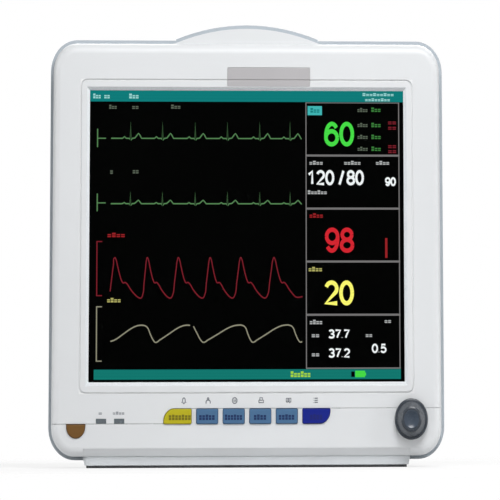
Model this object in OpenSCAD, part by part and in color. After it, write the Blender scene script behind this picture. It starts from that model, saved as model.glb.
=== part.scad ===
// Bedside patient monitor: a flat screen in a moulded case with a row of keys, a jog knob,
// sockets on the left side, a battery behind a door on the right and a mains inlet at the back.
// The front faces -Y, +X is the viewer's right, and the feet stand on Z = 0.

/* [Screen] */
// Width of the lit area
screen_w = 246; // [236:1:262]
// Height of the lit area
screen_h = 184.5; // [176:0.5:198]
// Thickness of the clear window
window_t = 2; // [1.5:0.1:3]
// Distance from the lit area to the groove around it
groove_border = 6.8; // [5:0.1:8]
// Width of the groove
groove_w = 0.9; // [0.6:0.1:1.5]
// Width of the sloping lip around the screen
lip_w = 2.3; // [1:0.1:3.5]

/* [Front shell] */
// Shell to the left and right of the lit area
side_border = 28.5; // [27:0.5:34]
// Shell above the lit area
brow_h = 29.8; // [27:0.1:34]
// Shell below the lit area
chin_h = 46.3; // [45:0.1:56]
// Corner radius of the front outline
corner_r = 18; // [14:1:22]
// Rounding of the front edge
edge_r = 6; // [4.5:0.5:7]
// Height of the slanted fold along the lower edge of the chin
fold_h = 5.1; // [4.6:0.1:5.4]
// Depth of the front shell
shell_depth = 28; // [26:1:34]
// Wall of the moulded shells
wall = 2.8; // [2.2:0.1:3.2]
// Rise of the hump above the top edge
hump_rise = 10; // [6:0.2:14]
// Radius of the hump
hump_r = 172; // [140:4:200]
// Radius where the hump runs into the top edge
hump_fillet = 18; // [10:1:25]
// Depth of the trim band behind the front shell
trim_t = 3; // [2:0.5:5]
// How far the trim band stands proud of the outline
trim_proud = 2.4; // [1:0.1:2.8]

/* [Controls] */
// Width of an inner key
key_w = 16.6; // [15:0.1:19]
// Width of an end key
end_key_w = 21.4; // [20:0.1:26]
// Height of the keys
key_h = 9.2; // [8:0.1:11]
// Gap between two keys
key_gap = 4; // [2.8:0.1:4.6]
// Radius of the large corner of an end key
end_key_r = 8; // [5:0.5:9]
// Centre of the key row above the lower edge of the shell
key_up = 24.9; // [23:0.1:28]
// How far a key stands out
key_proud = 1.2; // [0.8:0.1:2]
// Travel of a key
key_travel = 0.8; // [0.4:0.1:1]
// Width of the power key
power_w = 14.2; // [12:0.2:17]
// Height of the power key
power_h = 8.4; // [8:0.2:11]
// Power key centre from the left edge
power_inset = 19; // [16:0.2:22]
// Knob diameter at its skirt
knob_d = 26; // [22:0.5:30]
// Knob diameter at its dished top
knob_top_d = 14; // [11:0.5:16]
// How far the knob stands out
knob_proud = 16; // [14:0.5:20]
// Knob centre from the right edge
knob_inset = 23.6; // [20:0.2:26]
// Knob centre above the lower edge of the shell
knob_up = 22.8; // [21:0.2:26]
// Travel of the knob when pressed
knob_travel = 0.6; // [0.3:0.1:0.8]
// Width of an indicator lamp
lamp_w = 7.8; // [5:0.2:9]
// Height of an indicator lamp
lamp_h = 2.9; // [2.4:0.1:4]
// First lamp from the left edge
lamp_inset = 38.5; // [36:0.5:42]
// Distance between the two lamps
lamp_pitch = 14; // [12:0.1:16]
// Width of the blank plate on the brow
badge_w = 65; // [40:1:80]
// Height of the blank plate
badge_h = 12; // [8:0.5:14]
// Blank plate to the right of the middle
badge_x = 17; // [-20:1:20]

/* [Rear housing] */
// Depth of the case from the front face to the back face
body_depth = 128; // [120:1:150]
// Depth of the collar behind the trim band
collar_depth = 12; // [10:1:16]
// Rounding of the back edges
rear_r = 14; // [8:1:18]
// How far the sides draw in towards the back
side_taper = 20; // [12:1:26]
// How far the top comes down towards the back
top_taper = 40; // [30:1:50]
// Width of the finger pocket under the handle
grip_w = 92; // [80:1:100]
// Height of the finger room under the handle
grip_gap = 30; // [24:1:34]
// Depth of the handle bar
grip_bar = 20; // [16:1:24]
// Width of one vent slot
vent_w = 3; // [2:0.5:4]
// Length of the vent slots
vent_l = 38; // [25:1:45]
// Number of vent slots
vent_count = 15; // [7:2:17]

/* [Base] */
// Width of the base plate
base_w = 254; // [240:1:270]
// Depth of the base plate
base_depth = 114; // [100:1:118]
// Thickness of the base plate
base_t = 3; // [2:0.1:4]
// Width of a rubber foot strip, front to back
foot_w = 12; // [8:0.5:16]
// How far the foot strips stand below the base plate
foot_drop = 1.6; // [1.2:0.1:3]
// Mounting holes under the base, left to right
mount_w = 100; // [75:25:100]
// Mounting holes under the base, front to back
mount_l = 50; // [40:5:55]
// Diameter of a tapped mounting hole
mount_d = 3.3; // [2.5:0.1:4.2]

/* [Side sockets] */
// Bore of the heart lead socket
lead_bore = 16; // [12:0.5:17]
// Bore of the finger sensor socket
sensor_bore = 13; // [10:0.5:14]
// Bore of the cuff hose socket
cuff_bore = 8; // [6:0.5:10]
// Bore of a temperature jack
probe_bore = 6.4; // [5:0.1:7]

/* [Back panel] */
// Diameter of the earth post
post_d = 6; // [5:0.5:8]
// How far the earth post stands out
post_proud = 14; // [11:0.5:18]
// Diameter of a fuse cap
fuse_d = 12; // [10:0.5:14]

/* [Battery] */
// Thickness of the battery pack
battery_t = 24; // [18:1:26]
// Height of the battery pack
battery_h = 88; // [70:1:92]
// Diameter of the battery door's hinge pin
door_pin_d = 3; // [2.5:0.1:3.5]

/* [Hidden] */
$fn = 64;
eps = 0.01;
reach = 400;

// Clearances
seam_gap = 0.2;
key_clear = 0.3;
fit_gap = 0.2;
run_gap = 0.05;
snug_gap = 0.02;
seat_gap = 0.3;
door_gap = 0.3;

// Overall outline
bezel_w = screen_w + 2 * side_border;
bezel_h = chin_h + screen_h + brow_h;
half_w = bezel_w / 2;
base_top = foot_drop + base_t;
bezel_bottom = base_top + trim_proud + fit_gap;
bezel_top = bezel_bottom + bezel_h;
screen_bottom = bezel_bottom + chin_h;
screen_top = screen_bottom + screen_h;
screen_mid = (screen_bottom + screen_top) / 2;
front_y = -(body_depth + post_proud - knob_proud) / 2;
hump_z = bezel_top + hump_rise - hump_r;
// The fillets dip a hair under the top edge, so that they cut it instead of only touching it
hump_dip = 0.05;
hump_x = sqrt(2 * (hump_r + hump_fillet) * (hump_rise + hump_dip) - pow(hump_rise + hump_dip, 2));
hump_tangent = hump_x * hump_r / (hump_r + hump_fillet);
hump_tangent_z = hump_z + sqrt(pow(hump_r, 2) - pow(hump_tangent, 2));
collar_start = shell_depth + trim_t;
tub_start = collar_start + collar_depth;
rear_wall_in = body_depth - wall;

// Key row
inner_keys = 4;
key_count = inner_keys + 2;
key_r = 0.8;
inner_w = inner_keys * key_w + (inner_keys - 1) * key_gap;
key_z = bezel_bottom + key_up;
key_low = key_z - key_h / 2;
key_high = key_z + key_h / 2;
key_lip = 1;
key_flange_t = 1.5;
stem_r = 2;
function key_left(i) =
    i == 0 ? -inner_w / 2 - key_gap - end_key_w
    : i == key_count - 1 ? inner_w / 2 + key_gap
    : -inner_w / 2 + (i - 1) * (key_w + key_gap);
function key_right(i) = key_left(i) + (i == 0 || i == key_count - 1 ? end_key_w : key_w);
function key_mid(i) = (key_left(i) + key_right(i)) / 2;
power_x = -half_w + power_inset;
power_top = key_low - key_clear;
power_mid = power_top - power_h / 2;
lamp_z = key_low + seam_gap / 2 + fit_gap + lamp_h / 2;
lamp_x0 = -half_w + lamp_inset;
knob_x = half_w - knob_inset;
knob_z = bezel_bottom + knob_up;

// Key board and switches
switch_body_h = 3.5;
switch_w = 6;
switch_tip = 1.2;
switch_tip_r = 1.7;
stem_end = wall + seat_gap + key_flange_t + 2.2;
board_t = 1.6;
key_board_d = stem_end + key_travel + 0.15 + switch_tip + switch_body_h;
key_board_low = bezel_bottom + 8;
key_board_high = screen_bottom - 10.5;
key_boss_r = 3;
key_boss_x = [-half_w + 33, -key_left(key_count - 1) - 29, key_left(key_count - 1) + 29, half_w - 41];
key_boss_z = bezel_bottom + 11.5;
bush_r = 3.5;
shaft_r = 3;
encoder_w = 13;
encoder_d = key_board_d - 7;
plunger_r = 4.6;
plunger_t = 2;
shaft_flange_t = 0.8;
encoder_room_start = encoder_d + 0.9;

// Display stack
gasket_t = 0.5;
window_d = wall + gasket_t;
window_over = 5;
lcd_side = 7.25;
lcd_end = 9.5;
sheet_t = 1;
lcd_d = window_d + window_t + fit_gap;
lcd_t = 9;
lcd_back = lcd_d + lcd_t;
cell_t = 2;
dent_x = 55;
dent_half = [40, 30];

// Screws and their posts
case_screw_r = 2;
head_r = 3.7;
head_t = 2.6;
boss_r = 4.4;
tube_r = 6;
case_top_x = half_w - 39.5;
case_top_z = bezel_top - 12;
case_low_x = half_w - 63.5;
case_low_z = bezel_bottom + 12.8;
case_low_seat = tub_start + 1;
case_spots = [[case_top_x, case_top_z], [-case_top_x, case_top_z],
              [case_low_x, case_low_z], [-case_low_x, case_low_z]];

// Chassis and boards
chassis_d = collar_start;
chassis_t = 1.5;
chassis_edge = half_w - 7.5;
chassis_low = bezel_bottom + 38;
chassis_high = bezel_top - 28;
chassis_spot_x = half_w - 12.5;
chassis_spots_z = [screen_bottom + 12, screen_top - 22];
chassis_screw_r = 1.5;
board_screw_r = 1.2;
board_d = chassis_d + chassis_t + 7.5;
standoff_r = 3;
standoff_in = 5;
// Each board: left, right, low, high
board_in = 41;
board_pump_room = 101;
board_up = 47;
board_down = 24;
main_board_at = [-half_w + board_in, half_w - board_pump_room, screen_bottom + board_up,
                 screen_top - board_down];
lead_board_at = [-half_w + board_in, -10, bezel_bottom + 34, screen_bottom + 39];
power_board_at = [-2, half_w - 53, bezel_bottom + 34, screen_bottom + 39];
boards_at = [main_board_at, lead_board_at, power_board_at];

// Tub of the rear housing
tub_inset = 3;
tub_r = 16;
rear_fn = 30;
tub_drop = 4;
tub_bottom = bezel_bottom + tub_inset;
rear_half_w = half_w - side_taper;
rear_top = bezel_top - top_taper;
collar_inset = 0.8;
bar_bottom = bezel_top - 4;
pocket_floor = bar_bottom - grip_gap;
pocket_front = tub_start + 4;
pocket_r = 6;
bar_back = tub_start + grip_bar;
bar_r = 7;
vent_pitch = 9;
vent_z = rear_top - rear_r - 8 - vent_l / 2;

// Side pods
pod_x = half_w - 4;
pod_front = tub_start + 7;
pod_back = body_depth - 16;
pod_low = screen_bottom + 8;
socket_pod_h = 134;
battery_pod_h = 110;
socket_pod_high = pod_low + socket_pod_h;
battery_pod_high = pod_low + battery_pod_h;
pod_r = 6;
pod_rim = 6;
pod_inner = 40;
panel_over = 2;
panel_d = (pod_front + pod_back) / 2;
socket_flange_t = 3;
barrel_wall = 2;
panel_back_t = 2;
socket_lip = 4;
lead_bore_l = 14;
lead_barrel_l = 22;
sensor_bore_l = 13;
sensor_barrel_l = 20;
cuff_bore_l = 15;
cuff_barrel_l = 18;
cuff_tail_l = 10;
probe_bore_l = 18;
probe_barrel_l = 22;
contact_r = 0.8;
contact_l = 4;
contact_in = 2.5;
lead_z = socket_pod_high - 28;
sensor_z = lead_z - 30;
cuff_z = sensor_z - 28;
probe_z = [cuff_z - 19, cuff_z - 35];

// Battery door hinge
pin_r = door_pin_d / 2;
knuckle_r = 4;
pin_x = pod_x - knuckle_r;
pin_d = pod_back - pod_rim - knuckle_r - 0.4;
door_low = pod_low + pod_rim;
door_high = battery_pod_high - pod_rim;
door_front = pod_front + pod_rim;
door_dent = [6, 18, 1.2];
tray_wall = 1.8;
tray_leg_z = 28;
tray_leg_w = 8;
tray_x = pod_x - wall - 4.5;
tray_back = pin_d - knuckle_r - 1.2;
tray_front = tray_back - 41;
battery_l = tray_back - tray_front - 2 * tray_wall - 2 * seat_gap;
battery_mid = (door_low + door_high) / 2;

// Back panel
panel_z = bezel_bottom + 41;
inlet_x = 48;
inlet_w = 27;
inlet_h = 20;
inlet_l = 22;
inlet_flange_w = 48;
inlet_flange_h = 26;
inlet_flange_t = 2.5;
inlet_flange_r = 4;
inlet_face = body_depth + inlet_flange_t;
inlet_screw_x = 19.5;
inlet_screw_r = 1.5;
inlet_screw_l = 9;
inlet_mouth = [24, 16, 17];
fuse_z = [panel_z - 10, panel_z + 10];
fuse_cap_l = 7;
fuse_tube_l = 24;
fuse_step = 1.5;
post_x = -30;
post_nut_t = 3.5;
post_nut_over = 3;
lan_x = -62;
lan_box = [16, 13.5, 19];
lan_mouth = [11.8, 8.4, 13];
speaker_x = -62;
speaker_z = panel_z + 58;
speaker_r = 18;
speaker_rim = 4;
magnet_l = 10;
magnet_r = 11;
sound_pitch = 6;
sound_r = 1.3;

// Base
base_front = 5.2;
base_r = 5;
base_slant = 1.5;
// Front strip of the base plate, which closes the gap under the chin
base_lip_l = 18;
base_lip_top = bezel_bottom - 0.3;
mount_deep = 6.2;
pad_top = tub_bottom;
pad_front = tub_start + 4;
pad_back = base_front + base_depth - 6;
pad_w = base_w - 57;
base_mid = (pad_front + pad_back) / 2;
base_spots_d = [pad_front + 9, pad_back - 9];
base_spot_x = pad_w / 2 - 30;
foot_sink = 1.2;
foot_wall = 1.2;
foot_half = base_w / 2 - base_slant - foot_wall;
foot_in = 3;
foot_front = base_front + foot_in;
foot_back = base_front + base_depth - foot_in - foot_w;
foot_back_l = 40;

// Alarm lamp in the crest of the hump
alarm_w = 56;
alarm_front = edge_r + wall + 2.8;
alarm_l = 12;
alarm_lip = 1.5;
alarm_flange_t = 1.2;
alarm_turn = 2 * asin(alarm_w / 2 / hump_r);
alarm_post_x = 20;
alarm_post_z = bezel_top - 4;
alarm_board_d = 11;

// Placing helpers: depth runs back from the front face, and flat shapes are drawn as seen from the front

module slab(depth, thick) {
    translate([0, front_y + depth + thick, 0]) rotate([90, 0, 0]) linear_extrude(thick) children();
}

module rod(x, z, depth, length, r) {
    translate([x, front_y + depth, z]) rotate([-90, 0, 0]) cylinder(h = length, r = r);
}

module block(x0, x1, d0, d1, z0, z1) {
    translate([x0, front_y + d0, z0]) cube([x1 - x0, d1 - d0, z1 - z0]);
}

// Flat shapes of depth and height, extruded to the right from x
module side_slab(x, thick) {
    translate([x, front_y, 0]) rotate([90, 0, 90]) linear_extrude(thick) children();
}

module across(x, depth, z, length, r) {
    translate([x, front_y + depth, z]) rotate([0, 90, 0]) cylinder(h = length, r = r);
}

module upright(x, depth, z, length, r) {
    translate([x, front_y + depth, z]) cylinder(h = length, r = r);
}

module round_rect(x0, x1, z0, z1, r) {
    translate([x0 + r, z0]) square([x1 - x0 - 2 * r, z1 - z0]);
    translate([x0, z0 + r]) square([x1 - x0, z1 - z0 - 2 * r]);
    for (x = [x0 + r, x1 - r], z = [z0 + r, z1 - r]) translate([x, z]) circle(r);
}

// Around the screen, grown evenly
module screen_rect(grow, r) {
    round_rect(-screen_w / 2 - grow, screen_w / 2 + grow, screen_bottom - grow, screen_top + grow, r);
}

// Rounded rectangle of the front, drawn in by inset
module front_rect(inset) {
    round_rect(-half_w + inset, half_w - inset, bezel_bottom + inset, bezel_top - inset, corner_r - inset);
}

// Hump above the top edge, drawn in by inset: an arc that runs out in a fillet on each side
module hump_area(inset) {
    low = bezel_top - hump_dip - inset;
    in = 0.985;
    out = 1.1;
    rise = hump_tangent_z - hump_z;
    difference() {
        polygon([[-hump_x, low - 2], [hump_x, low - 2], [hump_x, low], [hump_tangent, hump_tangent_z],
                 [-hump_tangent, hump_tangent_z], [-hump_x, low]]);
        for (x = [-hump_x, hump_x]) translate([x, low + inset + hump_fillet]) circle(hump_fillet + inset);
    }
    intersection() {
        translate([0, hump_z]) circle(hump_r - inset);
        polygon([[-hump_tangent * in, hump_z + rise * in], [hump_tangent * in, hump_z + rise * in],
                 [hump_tangent * out, hump_z + rise * out], [-hump_tangent * out, hump_z + rise * out]]);
    }
}

module outline(inset) {
    front_rect(inset);
    hump_area(inset);
}

// Front shell with its rounded edge

rim_lap = 1;

// Section through the edge: a side wall, the rounding and a strip of the front wall
module rim_profile() {
    difference() {
        union() {
            translate([-rim_lap, 0]) square([rim_lap + edge_r, shell_depth - edge_r]);
            translate([-rim_lap, 0]) square([rim_lap, shell_depth]);
            intersection() {
                translate([0, shell_depth - edge_r]) circle(edge_r);
                translate([0, shell_depth - edge_r]) square(edge_r);
            }
        }
        translate([-rim_lap - 1, -1]) square([rim_lap + 1 + edge_r - wall, shell_depth - wall + 1]);
    }
}

module rim_line(x, z, normal, length) {
    translate([x, front_y + shell_depth, z]) rotate([0, -normal, 0]) translate([-edge_r, 0, -length / 2])
        mirror([0, 1, 0]) linear_extrude(length) rim_profile();
}

module rim_arc(x, z, start) {
    translate([x, front_y + shell_depth, z]) rotate([90, 0, 0]) rotate([0, 0, start])
        rotate_extrude(angle = 90) translate([corner_r - edge_r, 0]) rim_profile();
}

module rim_shell() {
    slab(0, wall) front_rect(edge_r);
    for (top = [0, 1]) rim_line(0, top ? bezel_top : bezel_bottom, top ? 90 : -90, bezel_w - 2 * corner_r);
    for (side = [0, 1]) mirror([side, 0, 0]) {
        rim_line(half_w, (bezel_bottom + bezel_top) / 2, 0, bezel_h - 2 * corner_r);
        rim_arc(half_w - corner_r, bezel_bottom + corner_r, -90);
        rim_arc(half_w - corner_r, bezel_top - corner_r, 0);
    }
}

// The hump stands behind the rounded edge
module front_shell() {
    difference() {
        union() {
            rim_shell();
            slab(edge_r, shell_depth - edge_r) hump_area(0);
        }
        slab(edge_r + wall, shell_depth) hump_area(wall);
    }
}

// The chin lies below a seam that steps up from the lower to the upper edge of the key row
module chin_area(grow) {
    left = key_left(0) - key_clear - grow;
    high = key_high + key_clear + grow;
    r = end_key_r + key_clear + grow;
    translate([-reach, -reach]) square([2 * reach, reach + key_low + grow]);
    translate([left + r, key_low - 5]) square([reach, high - key_low + 5]);
    translate([left, key_low - 5]) square([reach, high - r - key_low + 5]);
    translate([left + r, high - r]) circle(r);
}

module key_outline(i, grow) {
    difference() {
        round_rect(key_left(i) - grow, key_right(i) + grow, key_low - grow, key_high + grow, key_r + grow);
        if (i == 0) translate([key_left(i) + end_key_r, key_high - end_key_r]) big_corner(grow, 90);
        if (i == key_count - 1)
            translate([key_right(i) - end_key_r, key_low + end_key_r]) big_corner(grow, -90);
    }
}

// What a quarter round of the end keys' corner radius leaves over
module big_corner(grow, turn) {
    rotate(turn) difference() {
        square(end_key_r + grow + 1);
        circle(end_key_r + grow);
    }
}

// Flat at the top and round below
module power_outline(grow) {
    r = power_w / 2;
    mid = power_top - power_h + r;
    translate([power_x - r - grow, mid]) square([power_w + 2 * grow, power_h - r + grow]);
    difference() {
        translate([power_x, mid]) circle(r + grow);
        translate([power_x - power_w, mid + eps]) square([2 * power_w, power_w]);
    }
}

module lamp_outline(i, grow) {
    translate([lamp_x0 + i * lamp_pitch - lamp_w / 2 - grow, lamp_z - lamp_h / 2 - grow])
        square([lamp_w + 2 * grow, lamp_h + 2 * grow]);
}

module badge_outline(grow) {
    z = screen_top + groove_border + 2;
    round_rect(badge_x - badge_w / 2 - grow, badge_x + badge_w / 2 + grow, z - badge_h / 2 - grow,
               z + badge_h / 2 + grow, 0.6 + grow);
}

badge_t = 1;

// Sloping lip from the front face down to the lit area
module window_cut() {
    hull() {
        slab(-eps, eps) square_screen(lip_w);
        slab(wall - 0.6, eps) square_screen(0);
    }
    slab(0, wall + 1) square_screen(0);
}

module square_screen(grow) {
    translate([-screen_w / 2 - grow, screen_bottom - grow])
        square([screen_w + 2 * grow, screen_h + 2 * grow]);
}

module alarm_arc(clear, r0, r1, front, length, turn) {
    translate([0, front_y + front + length, hump_z]) rotate([90, 0, 0]) rotate([0, 0, 90 - turn / 2])
        rotate_extrude(angle = turn, $fn = 360) translate([r0, -clear]) square([r1 - r0, length + 2 * clear]);
}

tongue_left_w = 20;
tongue_right_w = 36;
tongue_up = 5;
tongue_lap = 1.6;
tongue_t = 1.6;
tongue_off = 8;

// Tongues that lap behind the seam, beside the key row
module tongues() {
    left = key_left(0) - tongue_off;
    right = key_right(key_count - 1) + tongue_off;
    block(left - tongue_left_w, left, wall, wall + tongue_t, key_low - tongue_lap, key_low + tongue_up);
    block(right, right + tongue_right_w, wall, wall + tongue_t, key_high - tongue_lap, key_high + tongue_up);
}

module front_bezel() color("whitesmoke") {
    difference() {
        union() {
            difference() {
                front_shell();
                slab(-1, shell_depth + 2) chin_area(seam_gap / 2);
            }
            tongues();
            for (s = [-1, 1]) {
                rod(s * case_top_x, case_top_z, wall, collar_start - wall, boss_r);
                rod(s * alarm_post_x, alarm_post_z, wall, alarm_board_d - wall, 2.5);
                for (z = chassis_spots_z) rod(s * chassis_spot_x, z, wall, chassis_d - wall, boss_r - 0.4);
            }
        }
        window_cut();
        slab(-1, 1 + groove_w * 0.8) difference() {
            screen_rect(groove_border + groove_w / 2, 5);
            screen_rect(groove_border - groove_w / 2, 5 - groove_w);
        }
        slab(-1, 1 + badge_t) badge_outline(fit_gap / 2);
        for (i = [0, 1]) slab(-1, wall + 2) lamp_outline(i, fit_gap / 2);
        alarm_arc(fit_gap, hump_r - wall - 1, hump_r + 1, alarm_front, alarm_l, alarm_turn + 0.15);
        for (s = [-1, 1]) {
            rod(s * case_top_x, case_top_z, 14, reach, case_screw_r);
            for (z = chassis_spots_z) rod(s * chassis_spot_x, z, 18, reach, chassis_screw_r);
        }
    }
}

module chin_panel() color("whitesmoke") {
    difference() {
        union() {
            intersection() {
                front_shell();
                slab(-1, shell_depth + 2) chin_area(-seam_gap / 2);
            }
            for (s = [-1, 1]) rod(s * case_low_x, case_low_z, wall, collar_start - wall, boss_r);
            for (x = key_boss_x) rod(x, key_boss_z, wall, key_board_d - wall, key_boss_r);
        }
        for (i = [0 : key_count - 1]) slab(-1, wall + 2) key_outline(i, key_clear);
        slab(-1, wall + 2) power_outline(key_clear);
        rod(knob_x, knob_z, -1, wall + 2, bush_r + 0.1);
        for (s = [-1, 1]) rod(s * case_low_x, case_low_z, 14, reach, case_screw_r);
        for (x = key_boss_x) rod(x, key_boss_z, key_board_d - 6, 7, board_screw_r);
        chin_fold();
    }
}

// In front of the slant that runs back and down from the front face, as wide as the base
module chin_fold() {
    translate([-base_w / 2, front_y, bezel_bottom + fold_h]) rotate([-45, 0, 0]) translate([0, -fold_h, -10])
        cube([base_w, 4 * fold_h, 10]);
}

module blank_badge() color("silver") {
    difference() {
        slab(0, badge_t) badge_outline(0);
        slab(-1, 1 + groove_w * 0.4)
            translate([badge_x - badge_w / 2 - 1, screen_top + groove_border - groove_w / 2])
                square([badge_w + 2, groove_w]);
    }
}

// Display stack, from the window back to the spacers

module display_window() color("lightcyan", 0.3) slab(window_d, window_t) square_screen(window_over);

module window_gasket() color("dimgray") slab(wall, gasket_t) difference() {
    square_screen(window_over);
    square_screen(0.8);
}

module lcd_area(inset) {
    translate([-screen_w / 2 - lcd_side + inset, screen_bottom - lcd_end + inset])
        square([screen_w + 2 * (lcd_side - inset), screen_h + 2 * (lcd_end - inset)]);
}

module lcd_frame() color("gainsboro") difference() {
    slab(lcd_d, lcd_t) lcd_area(0);
    slab(lcd_d + sheet_t, lcd_t) lcd_area(sheet_t);
    slab(lcd_d - 1, lcd_t) square_screen(1.5);
}

module lcd_cell() color("black") slab(lcd_d + sheet_t, cell_t) lcd_area(sheet_t + fit_gap);

module backlight_tray() color("lightgray") difference() {
    slab(lcd_d + sheet_t + cell_t, lcd_t - sheet_t - cell_t) lcd_area(sheet_t + fit_gap);
    for (s = [-1, 1])
        slab(lcd_back - 0.6, 1) translate([s * dent_x, screen_mid])
            round_rect(-dent_half.x, dent_half.x, -dent_half.y, dent_half.y, 6);
}

spacer_x = screen_w / 2 - 18;
spacers_z = [screen_bottom + 22, screen_top - 22];

module lcd_spacers() color("darkgray")
    for (s = [-1, 1], z = spacers_z) difference() {
        rod(s * spacer_x, z, lcd_back, chassis_d - lcd_back, 4);
        rod(s * spacer_x, z, lcd_back + 4, reach, 1.5);
    }

// Keys, each with a flange behind the wall and a stem that works its switch

module stem(x, z) rod(x, z, wall + seat_gap, stem_end - wall - seat_gap, stem_r);

module key(i) {
    slab(-key_proud, key_proud + wall + seat_gap + eps) key_outline(i, 0);
    slab(wall + seat_gap, key_flange_t) key_outline(i, key_lip);
    stem(key_mid(i), key_z);
}

module silence_key() color("gold") key(0);
module lead_key() color("steelblue") key(1);
module freeze_key() color("steelblue") key(2);
module print_key() color("steelblue") key(3);
module cuff_key() color("steelblue") key(4);
module menu_key() color("darkblue") key(5);

module power_key() color("saddlebrown") {
    slab(-key_proud, key_proud + wall + seat_gap + eps) power_outline(0);
    slab(wall + seat_gap, key_flange_t) power_outline(key_lip);
    stem(power_x, power_mid);
}

// Board behind the keys

switch_spots = [for (i = [0 : key_count - 1]) [key_mid(i), key_z], [power_x, power_mid]];

module key_board() color("darkgreen") difference() {
    block(-half_w + 9, half_w - 9, key_board_d, key_board_d + board_t, key_board_low, key_board_high);
    for (s = [-1, 1]) rod(s * case_low_x, case_low_z, key_board_d - 1, 4, boss_r + 0.6);
    for (x = key_boss_x) rod(x, key_boss_z, key_board_d - 1, 4, 1.3);
}

module key_switches() color("dimgray")
    for (spot = switch_spots) {
        block(spot.x - switch_w / 2, spot.x + switch_w / 2, key_board_d - switch_body_h, key_board_d,
              spot.y - switch_w / 2, spot.y + switch_w / 2);
        rod(spot.x, spot.y, key_board_d - switch_body_h - switch_tip, switch_tip + eps, switch_tip_r);
    }

module lamp_lenses() color("slategray")
    for (i = [0, 1]) {
        slab(0, wall + eps) lamp_outline(i, 0);
        slab(wall, key_board_d - wall) lamp_outline(i, 0);
    }

// Jog knob and its encoder

module encoder_body() color("dimgray") difference() {
    union() {
        block(knob_x - encoder_w / 2, knob_x + encoder_w / 2, encoder_d, key_board_d,
              knob_z - encoder_w / 2, knob_z + encoder_w / 2);
        rod(knob_x, knob_z, -4, encoder_d + 4 + eps, bush_r);
    }
    rod(knob_x, knob_z, -5, reach / 10, shaft_r + run_gap);
    rod(knob_x, knob_z, encoder_room_start, key_board_d - encoder_room_start + eps, plunger_r + 0.4);
}

module encoder_nut() color("silver") difference() {
    translate([knob_x, front_y - 2, knob_z]) rotate([-90, 0, 0]) cylinder(h = 2, r = 5.6, $fn = 6);
    rod(knob_x, knob_z, -3, 4, bush_r + snug_gap);
}

module encoder_shaft() color("silver") {
    rod(knob_x, knob_z, -knob_proud + 4, knob_proud - 4 + encoder_room_start + seat_gap + eps, shaft_r);
    rod(knob_x, knob_z, encoder_room_start + seat_gap, shaft_flange_t, plunger_r - 0.2);
}

module encoder_plunger() color("dimgray")
    rod(knob_x, knob_z, encoder_room_start + seat_gap + shaft_flange_t, plunger_t, plunger_r);

knob_gap = knob_travel + 0.4;
knob_h = knob_proud - knob_gap;
knob_skirt_h = 3;
cap_sink = 1.6;
cap_r = knob_top_d / 2 - 1;
dish_r = 12;

// Half section of the knob: radius from the axis, height from its back
module knob_section() {
    r0 = knob_d / 2;
    r1 = knob_top_d / 2;
    difference() {
        union() {
            square([r0 - 1, knob_skirt_h + 1]);
            translate([0, 1]) square([r0, knob_skirt_h - 1]);
            translate([r0 - 1, 1]) circle(1);
            translate([r0 - 1, knob_skirt_h]) circle(1);
            polygon([[0, knob_skirt_h], [r0 - 1.4, knob_skirt_h + 1], [r1 + 1, knob_h - 0.6], [r1, knob_h],
                     [0, knob_h]]);
        }
        translate([-r0, -1]) square([r0, knob_h + 2]);
    }
}

module knob_frame() translate([knob_x, front_y - knob_gap, knob_z]) rotate([90, 0, 0]) children();

module control_knob() color("darkslategray") knob_frame() difference() {
    rotate_extrude() knob_section();
    translate([0, 0, -1]) cylinder(h = 5, r = 8.5);
    translate([0, 0, -1]) cylinder(h = knob_h - 3 + 1, r = shaft_r + snug_gap);
    translate([0, 0, knob_h - cap_sink]) cylinder(h = cap_sink + 1, r = cap_r + 0.1);
}

module knob_cap() color("slategray") knob_frame() difference() {
    translate([0, 0, knob_h - cap_sink]) cylinder(h = cap_sink, r = cap_r);
    translate([0, 0, knob_h + sqrt(pow(dish_r, 2) - pow(cap_r - 0.6, 2))]) sphere(dish_r);
}

// Alarm lamp

module alarm_lens() color("mistyrose") {
    flange_r = hump_r - wall - 0.1;
    alarm_arc(0, flange_r - alarm_flange_t / 2, hump_r, alarm_front, alarm_l, alarm_turn);
    alarm_arc(0, flange_r - alarm_flange_t, flange_r, alarm_front - alarm_lip, alarm_l + 2 * alarm_lip,
              alarm_turn + 1.2);
}

module alarm_board() color("darkgreen") difference() {
    block(-alarm_post_x - 6, alarm_post_x + 6, alarm_board_d, alarm_board_d + board_t,
          alarm_post_z - 4, alarm_post_z + 6);
    for (s = [-1, 1]) rod(s * alarm_post_x, alarm_post_z, alarm_board_d - 1, 4, 1);
}

// Trim band and rear housing

module trim_band() color("slategray") slab(shell_depth, trim_t) difference() {
    outline(-trim_proud);
    outline(wall - 0.4);
}

// The spheres are turned so that a corner of each lies exactly on the back face
module tub(shrink, start) {
    hull() {
        for (s = [-1, 1]) {
            for (z = [tub_bottom + tub_r, bezel_top - tub_drop - tub_r])
                rod(s * (half_w - tub_inset - tub_r), z, start, 1, tub_r - shrink, $fn = 32);
            for (z = [tub_bottom + rear_r, rear_top - rear_r])
                translate([s * (rear_half_w - rear_r), front_y + body_depth - rear_r, z])
                    rotate(180 / rear_fn) sphere(rear_r - shrink, $fn = rear_fn);
        }
    }
}

module pocket_area(grow) {
    round_rect(pocket_front - grow, bar_back + 20, pocket_floor - grow, bar_bottom + grow, pocket_r);
    translate([bar_back, pocket_floor - grow]) square([reach, reach]);
}

module pocket(grow) side_slab(-grip_w / 2 - grow, grip_w + 2 * grow) pocket_area(grow);

module pod_area(high, inset)
    round_rect(pod_front + inset, pod_back - inset, pod_low + inset, high - inset, pod_r - inset / 2);

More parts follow.
